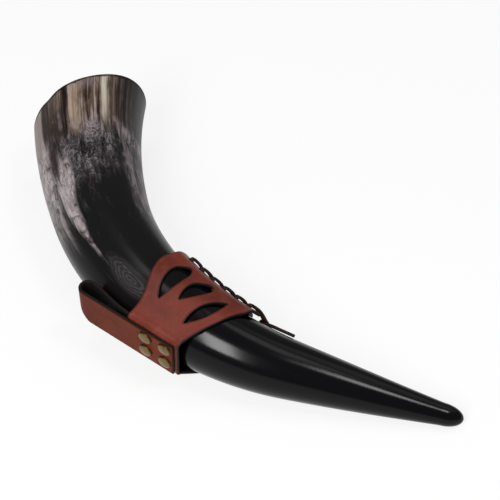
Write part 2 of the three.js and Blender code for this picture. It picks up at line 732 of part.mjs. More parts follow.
// The horn lies on its rim, its holder and its tip: the table's normal in the horn's own frame
function tableNormal() {
  const vertices = (mesh) => {
    const position = mesh.geometry.getAttribute("position");
    const pointAt = (_, k) => new THREE.Vector3().fromBufferAttribute(position, k);
    return Array.from({ length: position.count }, pointAt);
  };
  const tipMiddle = axisAt(HORN_LENGTH).point;
  const horn = vertices(hornMesh);
  const atMouth = horn.filter((point) => point.length() < MOUTH_ARC_LENGTH);
  const atTip = horn.filter((point) => point.distanceTo(tipMiddle) < TIP_ARC_LENGTH / 2);
  const supports = [atMouth, vertices(sleeveMesh), atTip];
  const normal = UP.clone();
  for (let round = 0; round < SETTLE_ROUNDS; round += 1) {
    const [a, b, c] = supports.map((points) =>
      points.reduce((least, point) => (point.dot(normal) < least.dot(normal) ? point : least)),
    );
    normal.copy(b).sub(a).cross(c.clone().sub(a)).normalize();
    if (normal.z < 0) normal.negate();
  }
  return normal;
}

// Laid on the table, the strap along X, the middle of its footprint at the origin
const laid = new THREE.Quaternion().setFromUnitVectors(tableNormal(), UP);
const strapRun = new THREE.Vector3().setFromMatrixColumn(flatFrame, 0).applyQuaternion(laid);
const turned = new THREE.Quaternion().setFromAxisAngle(UP, -Math.atan2(strapRun.y, strapRun.x));
assembly.quaternion.copy(turned.multiply(laid));
assembly.updateMatrixWorld(true);
const box = new THREE.Box3().setFromObject(assembly, true);
assembly.position.set(-(box.min.x + box.max.x) / 2, -(box.min.y + box.max.y) / 2, -box.min.z);

const drinkingHorn = new THREE.Group();
drinkingHorn.add(assembly);

export default drinkingHorn;
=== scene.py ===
import json
from math import asin, atan2, cos, degrees, hypot, pi, radians, sin, sqrt, tan

import bpy
import numpy as np
from mathutils import Matrix, Vector
from mathutils.geometry import delaunay_2d_cdt


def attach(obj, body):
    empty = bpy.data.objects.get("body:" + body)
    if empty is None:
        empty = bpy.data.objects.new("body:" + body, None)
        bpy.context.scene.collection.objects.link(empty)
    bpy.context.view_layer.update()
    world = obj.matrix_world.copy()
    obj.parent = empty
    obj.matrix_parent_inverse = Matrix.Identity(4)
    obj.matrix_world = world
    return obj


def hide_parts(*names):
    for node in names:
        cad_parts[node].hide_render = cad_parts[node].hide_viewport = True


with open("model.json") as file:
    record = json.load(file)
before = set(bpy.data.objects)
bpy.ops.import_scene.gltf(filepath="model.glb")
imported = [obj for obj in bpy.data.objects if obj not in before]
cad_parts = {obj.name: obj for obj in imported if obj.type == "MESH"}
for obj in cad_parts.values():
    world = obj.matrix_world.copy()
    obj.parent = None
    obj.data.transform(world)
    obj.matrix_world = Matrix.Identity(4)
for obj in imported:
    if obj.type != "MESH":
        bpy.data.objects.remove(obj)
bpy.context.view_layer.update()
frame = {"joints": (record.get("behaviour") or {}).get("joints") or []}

scene = bpy.context.scene

# Sizes of the horn and its holder, in millimetres and degrees, as in the solids
ARCS = [(95.6, 14.2), (171.0, 58.1), (99.9, 2.5)]
HORN_RADII = np.array([37.0, 31.0, 25.4, 16.9, 5.9])
RIM_LEAN_INWARD = radians(23.7)
RIM_LEAN_UP = radians(3.9)
RIM_WALL = 3.0
WALL_GROWTH_POWER = 3
CAVITY_DEPTH = 232.0
CAVITY_END_RADIUS = 6.5
HOLDER_STATION = 198.8
HOLDER_TURN = radians(5.0)
HORN_CLEARANCE = 0.4
LAYER_GAP = 0.2
LEATHER = 1.9
FLAT_LENGTH = 30.5
FLAT_MARGIN = 1.5
FLAT_TURN = 5.5
FLAT_SHIFT = 5.5
LACED_EDGE = 26.0
MOUTH_EDGE_SWEEP = 14.3
MOUTH_EDGE_START = 30.0
MOUTH_EDGE_END = 112.0
TIP_EDGE_SWEEP = 25.9
TIP_EDGE_START = 30.0
STRAP_WIDTH = 27.2
STRAP_END = 15.5
INNER_LEG_HEIGHT = 0.5
LOOP_START = -17.5
FOLD_END = -56.0
FOLD_DIP = 5.3
FOLD_SPREAD = 1.2
LOOP_EASE_OUT = 16.0
LOOP_EASE_IN = 9.0
RIVET_SPACING_ALONG = 13.9
RIVET_SPACING_ACROSS = 13.0
RIVET_SHIFT = 3.1
RIVET_RISE = 2.1
LACE_DIAMETER = 2.0
LACE_CLEARANCE = 0.3
LACE_HOLE_ANGLE = 39.0
LACE_PAIRS = 6
LACE_FIRST_HOLE = -21.0
LACE_HOLE_PITCH = 10.6
LACE_SLANT_POWER = 5
LACE_DIP_SHARE = 0.72
LACE_CROSSING_SHARE = 0.38
KNOT_STATION = 43.6
KNOT_HALF_ANGLE = 13.0
KNOT_STEPS = 8
TAIL_ROUTE = [(4.8, 22.0), (14.4, 30.0), (22.8, 34.0)]

# Wear and finer forms, which differ from the solids
RIM_EDGE = 0.9
RIM_WAVES = [(0.5, 2, 1.1), (0.35, 5, 0.4)]
RIM_CHIP_ANGLE = 140.0
RIM_CHIP_WIDTH = 8.0
RIM_CHIP_DEPTH = 1.4
TIP_ROUNDING = 7.0
FLAT_CORNER_SOFTNESS = 0.45
LIFT_START = radians(45.0)
LIFT_END = radians(66.0)
FOLD_CORNER = 4.0
FOLD_CORNER_START = 0.1
STRAP_EDGE_ROUNDING = 0.55
STRAP_END_EASE = 0.5
STRAP_END_THINNING = 0.55
LACE_HOLE_RADIUS = 1.8
THONG_WIDTH = 3.0
THONG_THICKNESS = 1.9
THONG_FULLNESS = 3.6
KNOT_REACH = 2.6
KNOT_SPREAD = 5.0
KNOT_TURN = 2.2
KNOT_LEAN = 1.5

# Sizes that follow from the others
HORN_LENGTH = sum(length for length, _ in ARCS)
FLAT_WIDTH = STRAP_WIDTH + 2 * FLAT_MARGIN
FLAT_ANGLE = radians(180 + FLAT_TURN)
SLEEVE_HEIGHT = INNER_LEG_HEIGHT + LEATHER + LAYER_GAP
FRONT_LEG_HEIGHT = SLEEVE_HEIGHT + LEATHER + LAYER_GAP
CAP_BASE = FRONT_LEG_HEIGHT + LEATHER + LAYER_GAP
LACE_UNDER = LACE_CLEARANCE + LACE_DIAMETER / 2
SLEEVE_LIFT = LACE_DIAMETER + 2 * LACE_CLEARANCE
LACE_TOP = SLEEVE_LIFT + LEATHER + LACE_CLEARANCE + LACE_DIAMETER / 2
LACE_MIDDLE = (LACE_UNDER + LACE_TOP) / 2

# Place of the draw_out hinge in the horn's own frame
HINGE_STATION = 212.0
HINGE_REACH = 205.0
HINGE_SHIFT = 10.0


def unit(vectors):
    return vectors / np.linalg.norm(vectors, axis=-1, keepdims=True)


def smooth_step(low, high, value):
    share = np.clip((value - low) / (high - low), 0, 1)
    return share * share * (3 - 2 * share)


def full_turn(count):
    return np.linspace(0, 2 * pi, count, endpoint=False)


def bow(a, b, c, t):
    """A curve from a to c that is drawn towards b."""
    return (1 - t) ** 2 * a + 2 * t * (1 - t) * b + t**2 * c


# Horn axis and section
def axis_at(station):
    """Points of the axis, with the ways along it and to the inside of the bend."""
    rest = np.asarray(station, float)
    x = y = heading = zero = np.zeros_like(rest)
    for k, (length, turn) in enumerate(ARCS):
        step = rest if k == len(ARCS) - 1 else np.minimum(rest, length)
        bend = length / radians(turn)
        turned = heading + step / bend
        x = x + bend * (np.sin(turned) - np.sin(heading))
        y = y + bend * (np.cos(heading) - np.cos(turned))
        heading = turned
        rest = rest - step
    along = np.stack([np.cos(heading), np.sin(heading), zero], -1)
    inward = np.stack([-np.sin(heading), np.cos(heading), zero], -1)
    return np.stack([x, y, zero], -1), along, inward


def horn_radius(station):
    spans = len(HORN_RADII) - 1
    place = np.asarray(station, float) / HORN_LENGTH * spans
    index = np.clip(np.floor(place).astype(int), 0, spans - 1)
    slopes = np.gradient(HORN_RADII)
    f = place - index
    a, b = HORN_RADII[index], HORN_RADII[index + 1]
    m, n = slopes[index], slopes[index + 1]
    return a + m * f + (3 * (b - a) - 2 * m - n) * f**2 + (2 * (a - b) + m + n) * f**3


def hollow_radius(station):
    end_wall = horn_radius(CAVITY_DEPTH) - CAVITY_END_RADIUS
    share = np.maximum(station, 0) / CAVITY_DEPTH
    return horn_radius(station) - (RIM_WALL + (end_wall - RIM_WALL) * share**WALL_GROWTH_POWER)


UP = np.array([0.0, 0.0, 1.0])


def section_point(station, angle, reach):
    """Point at a station, an angle from the inside of the bend and a reach from the axis."""
    point, _, inward = axis_at(station)
    reach = np.asarray(reach)[..., None]
    return point + reach * (np.cos(angle)[..., None] * inward + np.sin(angle)[..., None] * UP)


def over_horn(station, turned, height):
    """Point over the horn in the holder's turned angles."""
    station = np.asarray(station, float)
    angle = np.radians(np.asarray(turned, float)) + HOLDER_TURN
    return section_point(station, angle, horn_radius(station) + height)


def holder_axes(station):
    """Point of the axis, and the holder's two ways across it."""
    point, along, inward = axis_at(station)
    side = cos(HOLDER_TURN) * inward + sin(HOLDER_TURN) * UP
    return point, side, np.cross(along, side)


# Flat of the holder: x along the strap to the tip, y outward, z across
def flat_spoke(station):
    _, side, up = holder_axes(station)
    return cos(FLAT_ANGLE) * side + sin(FLAT_ANGLE) * up


def flat_frame():
    stations = HOLDER_STATION + np.arange(-1, 2)
    before, middle, after = over_horn(stations, np.full(3, 180 + FLAT_TURN), 0.0)
    along = unit(after - before)
    across = unit(np.cross(along, flat_spoke(HOLDER_STATION)))
    return middle - FLAT_SHIFT * across, along, np.cross(across, along), across


FLAT_ORIGIN, FLAT_ALONG, FLAT_OUTWARD, FLAT_ACROSS = flat_frame()


# The horn's own frame laid on the table: the hinge stands across its plane, and the strap runs along X
def laid_frame():
    hinge = next(joint for joint in frame["joints"] if joint["name"] == "draw_out")
    up = unit(-np.array(hinge["axis"]))
    level = unit(np.cross([0.0, 1.0, 0.0], up))
    beside = np.cross(up, level)
    x, y, z = FLAT_ALONG
    spin = asin(-up[1] * z / (beside[1] * hypot(x, y))) - atan2(y, x)
    ahead = cos(spin) * level + sin(spin) * beside
    turn = np.stack([ahead, np.cross(up, ahead), up], 1)
    point, along, inward = axis_at(HINGE_STATION)
    pivot = point + HINGE_REACH * inward + HINGE_SHIFT * along
    return turn, 1000 * np.array(hinge["pos_m"]) - turn @ pivot


LAID_TURN, LAID_SHIFT = laid_frame()


def on_table(points):
    """Points of the horn's frame in millimetres, laid on the table in metres."""
    return (np.asarray(points) @ LAID_TURN.T + LAID_SHIFT) / 1000


def on_flat(points):
    ways = np.stack([FLAT_ALONG, FLAT_OUTWARD, FLAT_ACROSS])
    return on_table(FLAT_ORIGIN + points.reshape(-1, 3) @ ways)


# Meshes from points and faces, with named values on the points
def make_piece(name, points, faces, finishes, slots=None, values=None):
    mesh = bpy.data.meshes.new(name)
    mesh.from_pydata(np.asarray(points).tolist(), [], [list(face) for face in faces])
    for key, value in (values or {}).items():
        value = np.asarray(value, np.float32)
        kind = "FLOAT" if value.ndim == 1 else "FLOAT_VECTOR"
        field = "value" if value.ndim == 1 else "vector"
        mesh.attributes.new(key, kind, "POINT").data.foreach_set(field, value.ravel())
    for finish in finishes:
        mesh.materials.append(finish)
    if slots is not None:
        mesh.polygons.foreach_set("material_index", np.asarray(slots, np.int32))
    mesh.shade_smooth()
    mesh.update()
    piece = bpy.data.objects.new(name, mesh)
    scene.collection.objects.link(piece)
    return piece


def grid_faces(rows, columns, first=0):
    """Quads of rows of points, each row closed on itself."""
    faces = []
    for start in range(first, first + (rows - 1) * columns, columns):
        for j in range(columns):
            a, b = start + j, start + (j + 1) % columns
            faces.append((a, b, b + columns, a + columns))
    return faces


def tube_faces(rows, columns, first=0):
    """The same, closed by a face at both ends."""
    last = first + (rows - 1) * columns
    ends = [tuple(range(first, first + columns))[::-1], tuple(range(last, last + columns))]
    return grid_faces(rows, columns, first) + ends


# Shader maths
def operator(operation, reflected=False):
    def node(self, other):
        values = (other, self) if reflected else (self, other)
        return self.math(operation, *values)

    return node


class Tap:
    """A socket of a finish. Arithmetic on it adds Math nodes."""

    def __init__(self, finish, socket):
        self.finish = finish
        self.socket = socket

    def math(self, operation, *values):
        settings = {"operation": operation}
        return self.finish.add("ShaderNodeMath", settings, dict(enumerate(values)))

    __add__ = __radd__ = operator("ADD")
    __sub__ = operator("SUBTRACT")
    __rsub__ = operator("SUBTRACT", reflected=True)
    __mul__ = __rmul__ = operator("MULTIPLY")
    __truediv__ = operator("DIVIDE")
    __pow__ = operator("POWER")


class Finish:
    """A material whose nodes are added one by one."""

    def __init__(self, name):
        self.material = bpy.data.materials.new(name)
        self.material.use_nodes = True
        self.tree = self.material.node_tree
        self.shader = self.tree.nodes["Principled BSDF"]

    def add(self, kind, settings=None, sockets=None, out=0):
        """A node with its settings and the values or links of its sockets."""
        made = self.tree.nodes.new(kind)
        for key, value in (settings or {}).items():
            if key == "stops":
                ramp = made.color_ramp
                while len(ramp.elements) < len(value):
                    ramp.elements.new(1.0)
                for element, (place, colour) in zip(ramp.elements, value):
                    element.position = place
                    element.color = (*colour, 1.0)
            else:
                setattr(made, key, value)
        for key, value in (sockets or {}).items():
            self.feed(made.inputs[key], value)
        return Tap(self, made.outputs[out])

    def feed(self, socket, value):
        if isinstance(value, Tap):
            self.tree.links.new(value.socket, socket)
        elif socket.type == "RGBA":
            socket.default_value = (*value, 1.0)
        else:
            socket.default_value = value

    def set(self, **values):
        for key, value in values.items():
            self.feed(self.shader.inputs[key.replace("_", " ")], value)
        return self.material

    def mix(self, share, a, b):
        settings = {"data_type": "RGBA", "clamp_factor": True}
        return self.add("ShaderNodeMix", settings, {0: share, 6: a, 7: b}, 2)

    def split(self, vector):
        made = self.add("ShaderNodeSeparateXYZ", None, {0: vector})
        return [Tap(self, socket) for socket in made.socket.node.outputs]

    def noise(self, vector, scale, detail, roughness, distortion=0.0):
        sockets = {"Vector": vector, "Scale": scale, "Detail": detail}
        sockets |= {"Roughness": roughness, "Distortion": distortion}
        return self.add("ShaderNodeTexNoise", None, sockets)

    def drawn(self, spot, along, across, detail, roughness, distortion=0.0):
        """Noise drawn out along the first way of a place."""
        sockets = {0: spot, 1: (along, across, across)}
        spot = self.add("ShaderNodeVectorMath", {"operation": "MULTIPLY"}, sockets)
        return self.noise(spot, 1.0, detail, roughness, distortion)

    def step(self, value, low, high):
        sockets = {"Value": value, "From Min": low, "From Max": high}
        return self.add("ShaderNodeMapRange", {"interpolation_type": "SMOOTHSTEP"}, sockets)

    def band(self, value, low, high, soft):
        """One between two values, falling off softly past them."""
        rise = self.step(value, low - soft, low + soft)
        return rise * (1 - self.step(value, high - soft, high + soft))

    def place(self):
        return self.add("ShaderNodeTexCoord", None, None, "Object")

    def value(self, name, out="Fac"):
        return self.add("ShaderNodeAttribute", {"attribute_name": name}, None, out)

    def bump(self, height, strength, distance):
        sockets = {"Height": height, "Strength": strength, "Distance": distance}
        return self.add("ShaderNodeBump", None, sockets)


def ink(red, green, blue):
    """A colour given in screen values of 0 to 255."""
    def linear(value):
        value /= 255
        return value / 12.92 if value <= 0.04045 else ((value + 0.055) / 1.055) ** 2.4
    return (linear(red), linear(green), linear(blue))


# Horn finishes
SOOT = ink(11, 10, 11)
JET = ink(4, 4, 6)
CHARCOAL = ink(21, 20, 21)
UMBER = ink(44, 34, 30)
BROWN = ink(94, 77, 67)
TAUPE = ink(138, 124, 119)
TAN = ink(160, 141, 121)
CREAM = ink(196, 187, 170)
MAUVE = ink(150, 137, 140)
PALE_MAUVE = ink(186, 176, 176)
SLATE = ink(92, 88, 89)


class HornGrain(Finish):
    """Polished horn, marked by degrees from the inside of the bend and millimetres from the mouth."""

    def __init__(self):
        super().__init__("polished_horn")
        self.spot = self.value("horn_place", "Vector")
        self.station, inside, top = self.split(self.spot)
        self.degrees = 90 - inside.math("ARCTAN2", inside, top) * (180 / pi)
        self.thread = self.drawn(self.spot, 0.006, 9.0, 4.0, 0.6)
        self.fine = self.drawn(self.spot, 0.014, 34.0, 3.0, 0.6)
        self.cloud = self.drawn(self.spot, 0.045, 2.6, 4.0, 0.55)
        self.patch = self.drawn(self.spot, 0.06, 7.0, 5.0, 0.65, 0.8)
        self.marble = self.drawn(self.spot, 0.1, 5.5, 4.0, 0.6, 0.4)
        drift = self.drawn(self.spot, 0.02, 1.4, 2.0, 0.5)
        self.angle = self.degrees + (drift - 0.5) * 14 + (self.thread - 0.5) * 5
        self.ragged = self.station + (self.thread - 0.5) * 46 + (self.cloud - 0.5) * 26

    def around(self, low, high, soft):
        return self.band(self.angle, low, high, soft)

    def along(self, low, high, soft):
        return self.band(self.ragged, low, high, soft)

    def lines(self, value):
        """One soft line for each full turn of a value."""
        return value.math("SINE", value) * 0.5 + 0.5

    def lay(self, share, colour):
        self.colour = self.mix(share, self.colour, colour)


def mouth_streaks(horn):
    """Brown, cream and black streaks below the rim, and the dark horn behind them."""
    streak = (horn.thread - 0.5) * 1.7 + (horn.fine - 0.5) * 1.1 + (horn.patch - 0.5) * 0.7 + 0.4
    stops = [(0.0, SOOT), (0.24, UMBER), (0.42, BROWN), (0.6, TAUPE), (0.8, TAN), (1.0, CREAM)]
    horn.colour = horn.add("ShaderNodeValToRGB", {"stops": stops}, {0: streak})
    fading = 1 - horn.step(horn.station, 16, 56) * 0.8
    horn.lay(horn.around(72, 79, 3) * (0.2 + 1.1 * horn.fine) * fading, CREAM)
    horn.lay(horn.around(103, 112, 4) * horn.patch, TAN)
    for low, high, soft, share, colour in (
        (155, 200, 4, 0.75, TAUPE), (116, 120, 2, 0.9, SOOT), (149, 154, 2, 0.9, SOOT),
        (48, 69, 3, 0.6, UMBER), (40, 58, 5, 0.6, SOOT), (-30, 46, 4, 0.94, ink(18, 18, 18)),
    ):
        horn.lay(horn.around(low, high, soft) * share, colour)
    horn.lay(horn.around(122, 148, 4) * (0.45 + 0.45 * horn.step(horn.station, 20, 34)), UMBER)
    bloom = (1 - horn.step(horn.station, 4, 18)) * horn.around(84, 112, 5) * horn.patch
    horn.lay(bloom * 0.8, MAUVE)
    dark = horn.mix(horn.step(horn.station, 160, 215), CHARCOAL, JET)
    horn.lay(horn.step(horn.ragged, 42, 60), dark)


def marbling(horn):
    """Wavy marbling behind the streaks, with nested bows in its middle."""
    waves = horn.lines(horn.marble * 44 + horn.station * 0.3)
    marbled = horn.along(52, 88, 12) * horn.around(66, 132, 10)
    horn.lay(marbled * horn.step(horn.marble, 0.35, 0.7) * 0.5, SLATE)
    horn.lay(marbled * waves**3 * horn.step(horn.patch, 0.36, 0.62) * 0.65, MAUVE)
    fringe = horn.along(43, 56, 6) * horn.step(horn.patch, 0.44, 0.62) * (0.3 + 0.8 * horn.fine)
    horn.lay(fringe * 0.8, MAUVE)
    from_middle = horn.degrees - 92
    bows = (horn.station + from_middle * from_middle * 0.07) * 0.26 + horn.marble * 3.4
    bowed = horn.band(horn.degrees, 85, 99, 5) * horn.along(44, 64, 6)
    horn.lay(bowed * horn.lines(bows * 6.28) ** 2 * horn.fine, MAUVE)


def faint_runs(horn):
    """Faint wavy lines that run down into the dark middle."""
    runs = horn.drawn(horn.spot, 0.03, 4.0, 4.0, 0.6, 0.6)
    run_lines = horn.lines(runs * 62 + horn.station * 0.12)
    faint = horn.along(82, 104, 12) * horn.around(88, 126, 9) * horn.step(horn.patch, 0.46, 0.68)
    horn.lay(faint * (0.02 + 0.26 * run_lines**4), MAUVE)


def outer_streaks(horn):
    """Pale streaks on the outside of the bend, one of them a pointed tongue."""
    reach = horn.station + (horn.thread - 0.5) * 70 + (horn.patch - 0.5) * 30
    tongue = horn.angle.math("ABSOLUTE", horn.angle - 138) - (148 - reach) * 0.18
    flank = (1 - horn.step(tongue, -3, 3)) * horn.step(horn.ragged, 62, 84)
    outside = horn.around(152, 206, 6) * (1 - horn.step(reach, 78, 132))
    flank = flank.math("MAXIMUM", flank, outside * horn.step(horn.ragged, 40, 56))
    curls = horn.lines(horn.cloud * 40 + horn.marble * 9)
    lit = 0.3 + 0.4 * horn.step(horn.marble, 0.36, 0.6) + 0.35 * horn.fine - 0.45 * curls**5
    horn.lay(flank * lit, horn.mix(horn.fine, MAUVE, PALE_MAUVE))
    horn.lay(horn.around(139, 148, 3) * horn.along(44, 80, 8) * 0.85, UMBER)


def ringed_eye(horn):
    """A faint ringed knot beside the strap."""
    across = (horn.degrees - 131) / 15
    down = (horn.station - 169) / 21
    from_eye = (across * across + down * down) ** 0.5 + (horn.cloud - 0.5) * 0.9
    rings = horn.lines(from_eye * 34 + horn.thread * 6)
    knot = (1 - horn.step(from_eye, 0.55, 1.2)) * (0.2 + 0.4 * rings)
    horn.lay(knot * horn.step(horn.fine, 0.2, 0.7) * 0.8, SLATE)


def inner_streaks(horn):
    """Grey streaks on the inside of the bend, partly horn colour and partly painted sheen, and specks.
    """
    inner = horn.around(14, 58, 7) * horn.along(46, 132, 14)
    horn.lay(inner * horn.step(horn.patch, 0.38, 0.7) * (0.35 + 0.6 * horn.fine), MAUVE)
    specks = horn.step(horn.patch * 0.6 + horn.fine * 0.4, 0.6, 0.72)
    horn.lay(specks * (1 - horn.step(horn.station, 150, 230)) * 0.35, SLATE)


def polished_horn():
    horn = HornGrain()
    for marking in (mouth_streaks, marbling, faint_runs, outer_streaks, ringed_eye, inner_streaks):
        marking(horn)
    # The rim has a dark uneven edge of painted shade and painted dark reflection from its bevel, the
    # mouth is worn, and the tip has the highest polish
    lip = 1 - horn.step(horn.value("from_rim") - (horn.patch - 0.35) * 7, 0.6, 2.0)
    horn.lay(lip * 0.9, ink(20, 19, 19))
    worn = 1 - horn.step(horn.station, 60, 200)
    scratch = horn.drawn(horn.spot, 0.02, 90.0, 2.0, 0.5)
    height = (horn.thread * 0.5 + scratch * 0.12) * (1 - 0.9 * horn.step(horn.station, 180, 320))
    return horn.set(
        Base_Color=horn.colour,
        Roughness=0.17 + worn * 0.2 + (horn.cloud - 0.5) * 0.08 + lip * 0.15,
        IOR=1.17,
        Coat_IOR=1.45,
        Coat_Roughness=0.17,
        Coat_Weight=horn.step(horn.station, 180, 225) * 0.24,
        Normal=horn.bump(height + horn.patch * worn * 0.3, 0.16, 0.0006),
    )


def raw_hollow():
    hollow = Finish("raw_hollow")
    spot = hollow.value("horn_place", "Vector")
    thread = hollow.drawn(spot, 0.012, 12.0, 4.0, 0.6)
    growth = hollow.drawn(spot, 0.16, 1.2, 3.0, 0.6)
    colour = hollow.mix(thread, ink(38, 31, 28), ink(112, 94, 78))
    colour = hollow.mix(growth * 0.5, colour, ink(48, 41, 38))
    relief = hollow.bump(growth + thread * 0.5, 0.35, 0.001)
    return hollow.set(Base_Color=colour, Roughness=0.42 + growth * 0.2, IOR=1.5, Normal=relief)


# Leather finishes
def leather_grain(name, warm, deep, painted_sheen, gloss):
    skin = Finish(name)
    spot = skin.place()
    edge = skin.value("from_edge")
    cloud = skin.noise(spot, 38.0, 4.0, 0.55)
    mottle = skin.noise(spot, 160.0, 4.0, 0.6)
    pores = skin.noise(spot, 1500.0, 2.0, 0.5)
    cell_sockets = {"Vector": spot, "Scale": 900.0}
    cells = skin.add("ShaderNodeTexVoronoi", {"feature": "DISTANCE_TO_EDGE"}, cell_sockets)
    colour = skin.mix(skin.step(cloud, 0.3, 0.72), deep, warm)
    # The lighter third colour is painted sheen, laid in random mottled patches and along the crease line
    colour = skin.mix(skin.step(mottle, 0.45, 0.8) * 0.35, colour, painted_sheen)
    burnish = 1 - skin.step(edge, 0.5, 1.6)
    colour = skin.mix(burnish * 0.6, colour, tuple(0.3 * part for part in deep))
    crease = skin.band(edge, 1.7, 2.0, 0.3)
    colour = skin.mix(crease * 0.3, colour, painted_sheen)
    height = skin.step(cells, 0.0, 0.35) * 0.4 + pores * 0.3 + mottle * 0.3 - crease * 0.5
    rough = 0.4 + (mottle - 0.5) * 0.2 + burnish * 0.1
    relief = skin.bump(height, 0.2, 0.0003)
    return skin.set(Base_Color=colour, Roughness=rough, IOR=gloss, Normal=relief)


def leather_edge():
    edge = Finish("leather_edge")
    grain = edge.noise(edge.place(), 700.0, 3.0, 0.6)
    colour = edge.mix(grain, ink(12, 10, 10), ink(30, 23, 21))
    relief = edge.bump(grain, 0.3, 0.0003)
    return edge.set(Base_Color=colour, Roughness=0.5 + grain * 0.2, IOR=1.2, Normal=relief)


def leather_flesh():
    flesh = Finish("leather_flesh")
    fibre = flesh.noise(flesh.place(), 620.0, 5.0, 0.7, 1.5)
    cloud = flesh.noise(flesh.place(), 60.0, 3.0, 0.5)
    colour = flesh.mix(fibre, ink(9, 8, 9), ink(31, 28, 28))
    colour = flesh.mix(cloud * 0.3, colour, ink(22, 19, 19))
    relief = flesh.bump(fibre, 0.5, 0.0005)
    return flesh.set(Base_Color=colour, Roughness=0.78 + fibre * 0.15, IOR=1.2, Normal=relief)


# Brass and lace finishes
def antique_brass():
    brass = Finish("antique_brass")
    spot = brass.place()
    cloud = brass.noise(spot, 260.0, 4.0, 0.6)
    fine = brass.noise(spot, 1400.0, 3.0, 0.6)
    rim = brass.value("from_cap_rim")
    # Darker round the cap's edge, as patina in the recess there and as painted shade, and tarnished in
    # cloudy patches
    tarnish_and_shade = (1 - brass.step(rim, 0.0, 0.9)) * 0.75 + brass.step(cloud, 0.45, 0.75) * 0.45
    colour = brass.mix(tarnish_and_shade, ink(120, 100, 61), ink(44, 36, 22))
    rough = 0.3 + tarnish_and_shade * 0.25 + (fine - 0.5) * 0.1
    relief = brass.bump(fine + cloud, 0.12, 0.0003)
    return brass.set(Base_Color=colour, Metallic=1.0, Roughness=rough, Normal=relief)


def dark_lace():
    cord = Finish("dark_lace")
    spot = cord.value("lace_place", "Vector")
    fibre = cord.drawn(spot, 0.25, 4.0, 4.0, 0.6)
    cloud = cord.noise(cord.place(), 120.0, 3.0, 0.5)
    colour = cord.mix(fibre, ink(20, 14, 13), ink(58, 38, 32))
    colour = cord.mix(cloud * 0.35, colour, ink(16, 12, 12))
    relief = cord.bump(fibre, 0.4, 0.0004)
    return cord.set(Base_Color=colour, Roughness=0.5 + fibre * 0.25, IOR=1.2, Normal=relief)


# Horn
HORN_SIDES = 144
SIDE_ANGLES = full_turn(HORN_SIDES)
RIM_SEARCH = 36.0


def rim_station(radius_of):
    """Stations where the slanted cut of the mouth meets a surface."""
    outward = np.array([-1.0, -tan(RIM_LEAN_INWARD), tan(RIM_LEAN_UP)])
    low = np.full(HORN_SIDES, -RIM_SEARCH)
    high = np.full(HORN_SIDES, RIM_SEARCH)
    for _ in range(40):
        middle = (low + high) / 2
        past = section_point(middle, SIDE_ANGLES, radius_of(middle)) @ outward > 0
        low = np.where(past, middle, low)
        high = np.where(past, high, middle)
    return (low + high) / 2


def rim_wear():
    """How far the worn rim lies below its flat cut."""
    waves = sum(depth * np.sin(count * SIDE_ANGLES + start) for depth, count, start in RIM_WAVES)
    chip = np.exp(-(((np.degrees(SIDE_ANGLES) - RIM_CHIP_ANGLE) / RIM_CHIP_WIDTH) ** 2))
    return waves + RIM_CHIP_DEPTH * chip


def horn_row(station, radius):
    station = np.broadcast_to(station, HORN_SIDES)
    return section_point(station, SIDE_ANGLES, radius), station


def outside_rows(outer_rim):
    cone_end = HORN_LENGTH - TIP_ROUNDING
    rows = []
    for turn in np.linspace(0.06, pi / 2, 12):
        station = cone_end + (HORN_RADII[-1] + TIP_ROUNDING) * cos(turn)
        rows.append(horn_row(station, horn_radius(cone_end) * sin(turn)))
    for share in np.linspace(0, 1, 190)[1:]:
        station = cone_end + (outer_rim + RIM_EDGE - cone_end) * share
        rows.append(horn_row(station, horn_radius(station)))
    return rows


def lip_rows(outer_rim, inner_rim):
    corner_out, _ = horn_row(outer_rim, horn_radius(outer_rim))
    corner_in, _ = horn_row(inner_rim, hollow_radius(inner_rim))
    below_out, _ = horn_row(outer_rim + RIM_EDGE, horn_radius(outer_rim + RIM_EDGE))
    below_in, _ = horn_row(inner_rim + RIM_EDGE, hollow_radius(inner_rim + RIM_EDGE))
    edge = RIM_EDGE * unit(corner_in - corner_out)
    shares = np.linspace(0, 1, 6)
    rows = [(bow(below_out, corner_out, corner_out + edge, share), outer_rim) for share in shares[1:]]
    return rows + [(bow(corner_in - edge, corner_in, below_in, share), inner_rim) for share in shares]


def hollow_rows(inner_rim):
    rows = []
    for share in np.linspace(0, 1, 70)[1:]:
        station = inner_rim + RIM_EDGE + (CAVITY_DEPTH - inner_rim - RIM_EDGE) * share
        rows.append(horn_row(station, hollow_radius(station)))
    for turn in np.linspace(0, pi / 2 - 0.08, 7)[1:]:
        station = CAVITY_DEPTH + CAVITY_END_RADIUS * sin(turn)
        rows.append(horn_row(station, CAVITY_END_RADIUS * cos(turn)))
    return rows


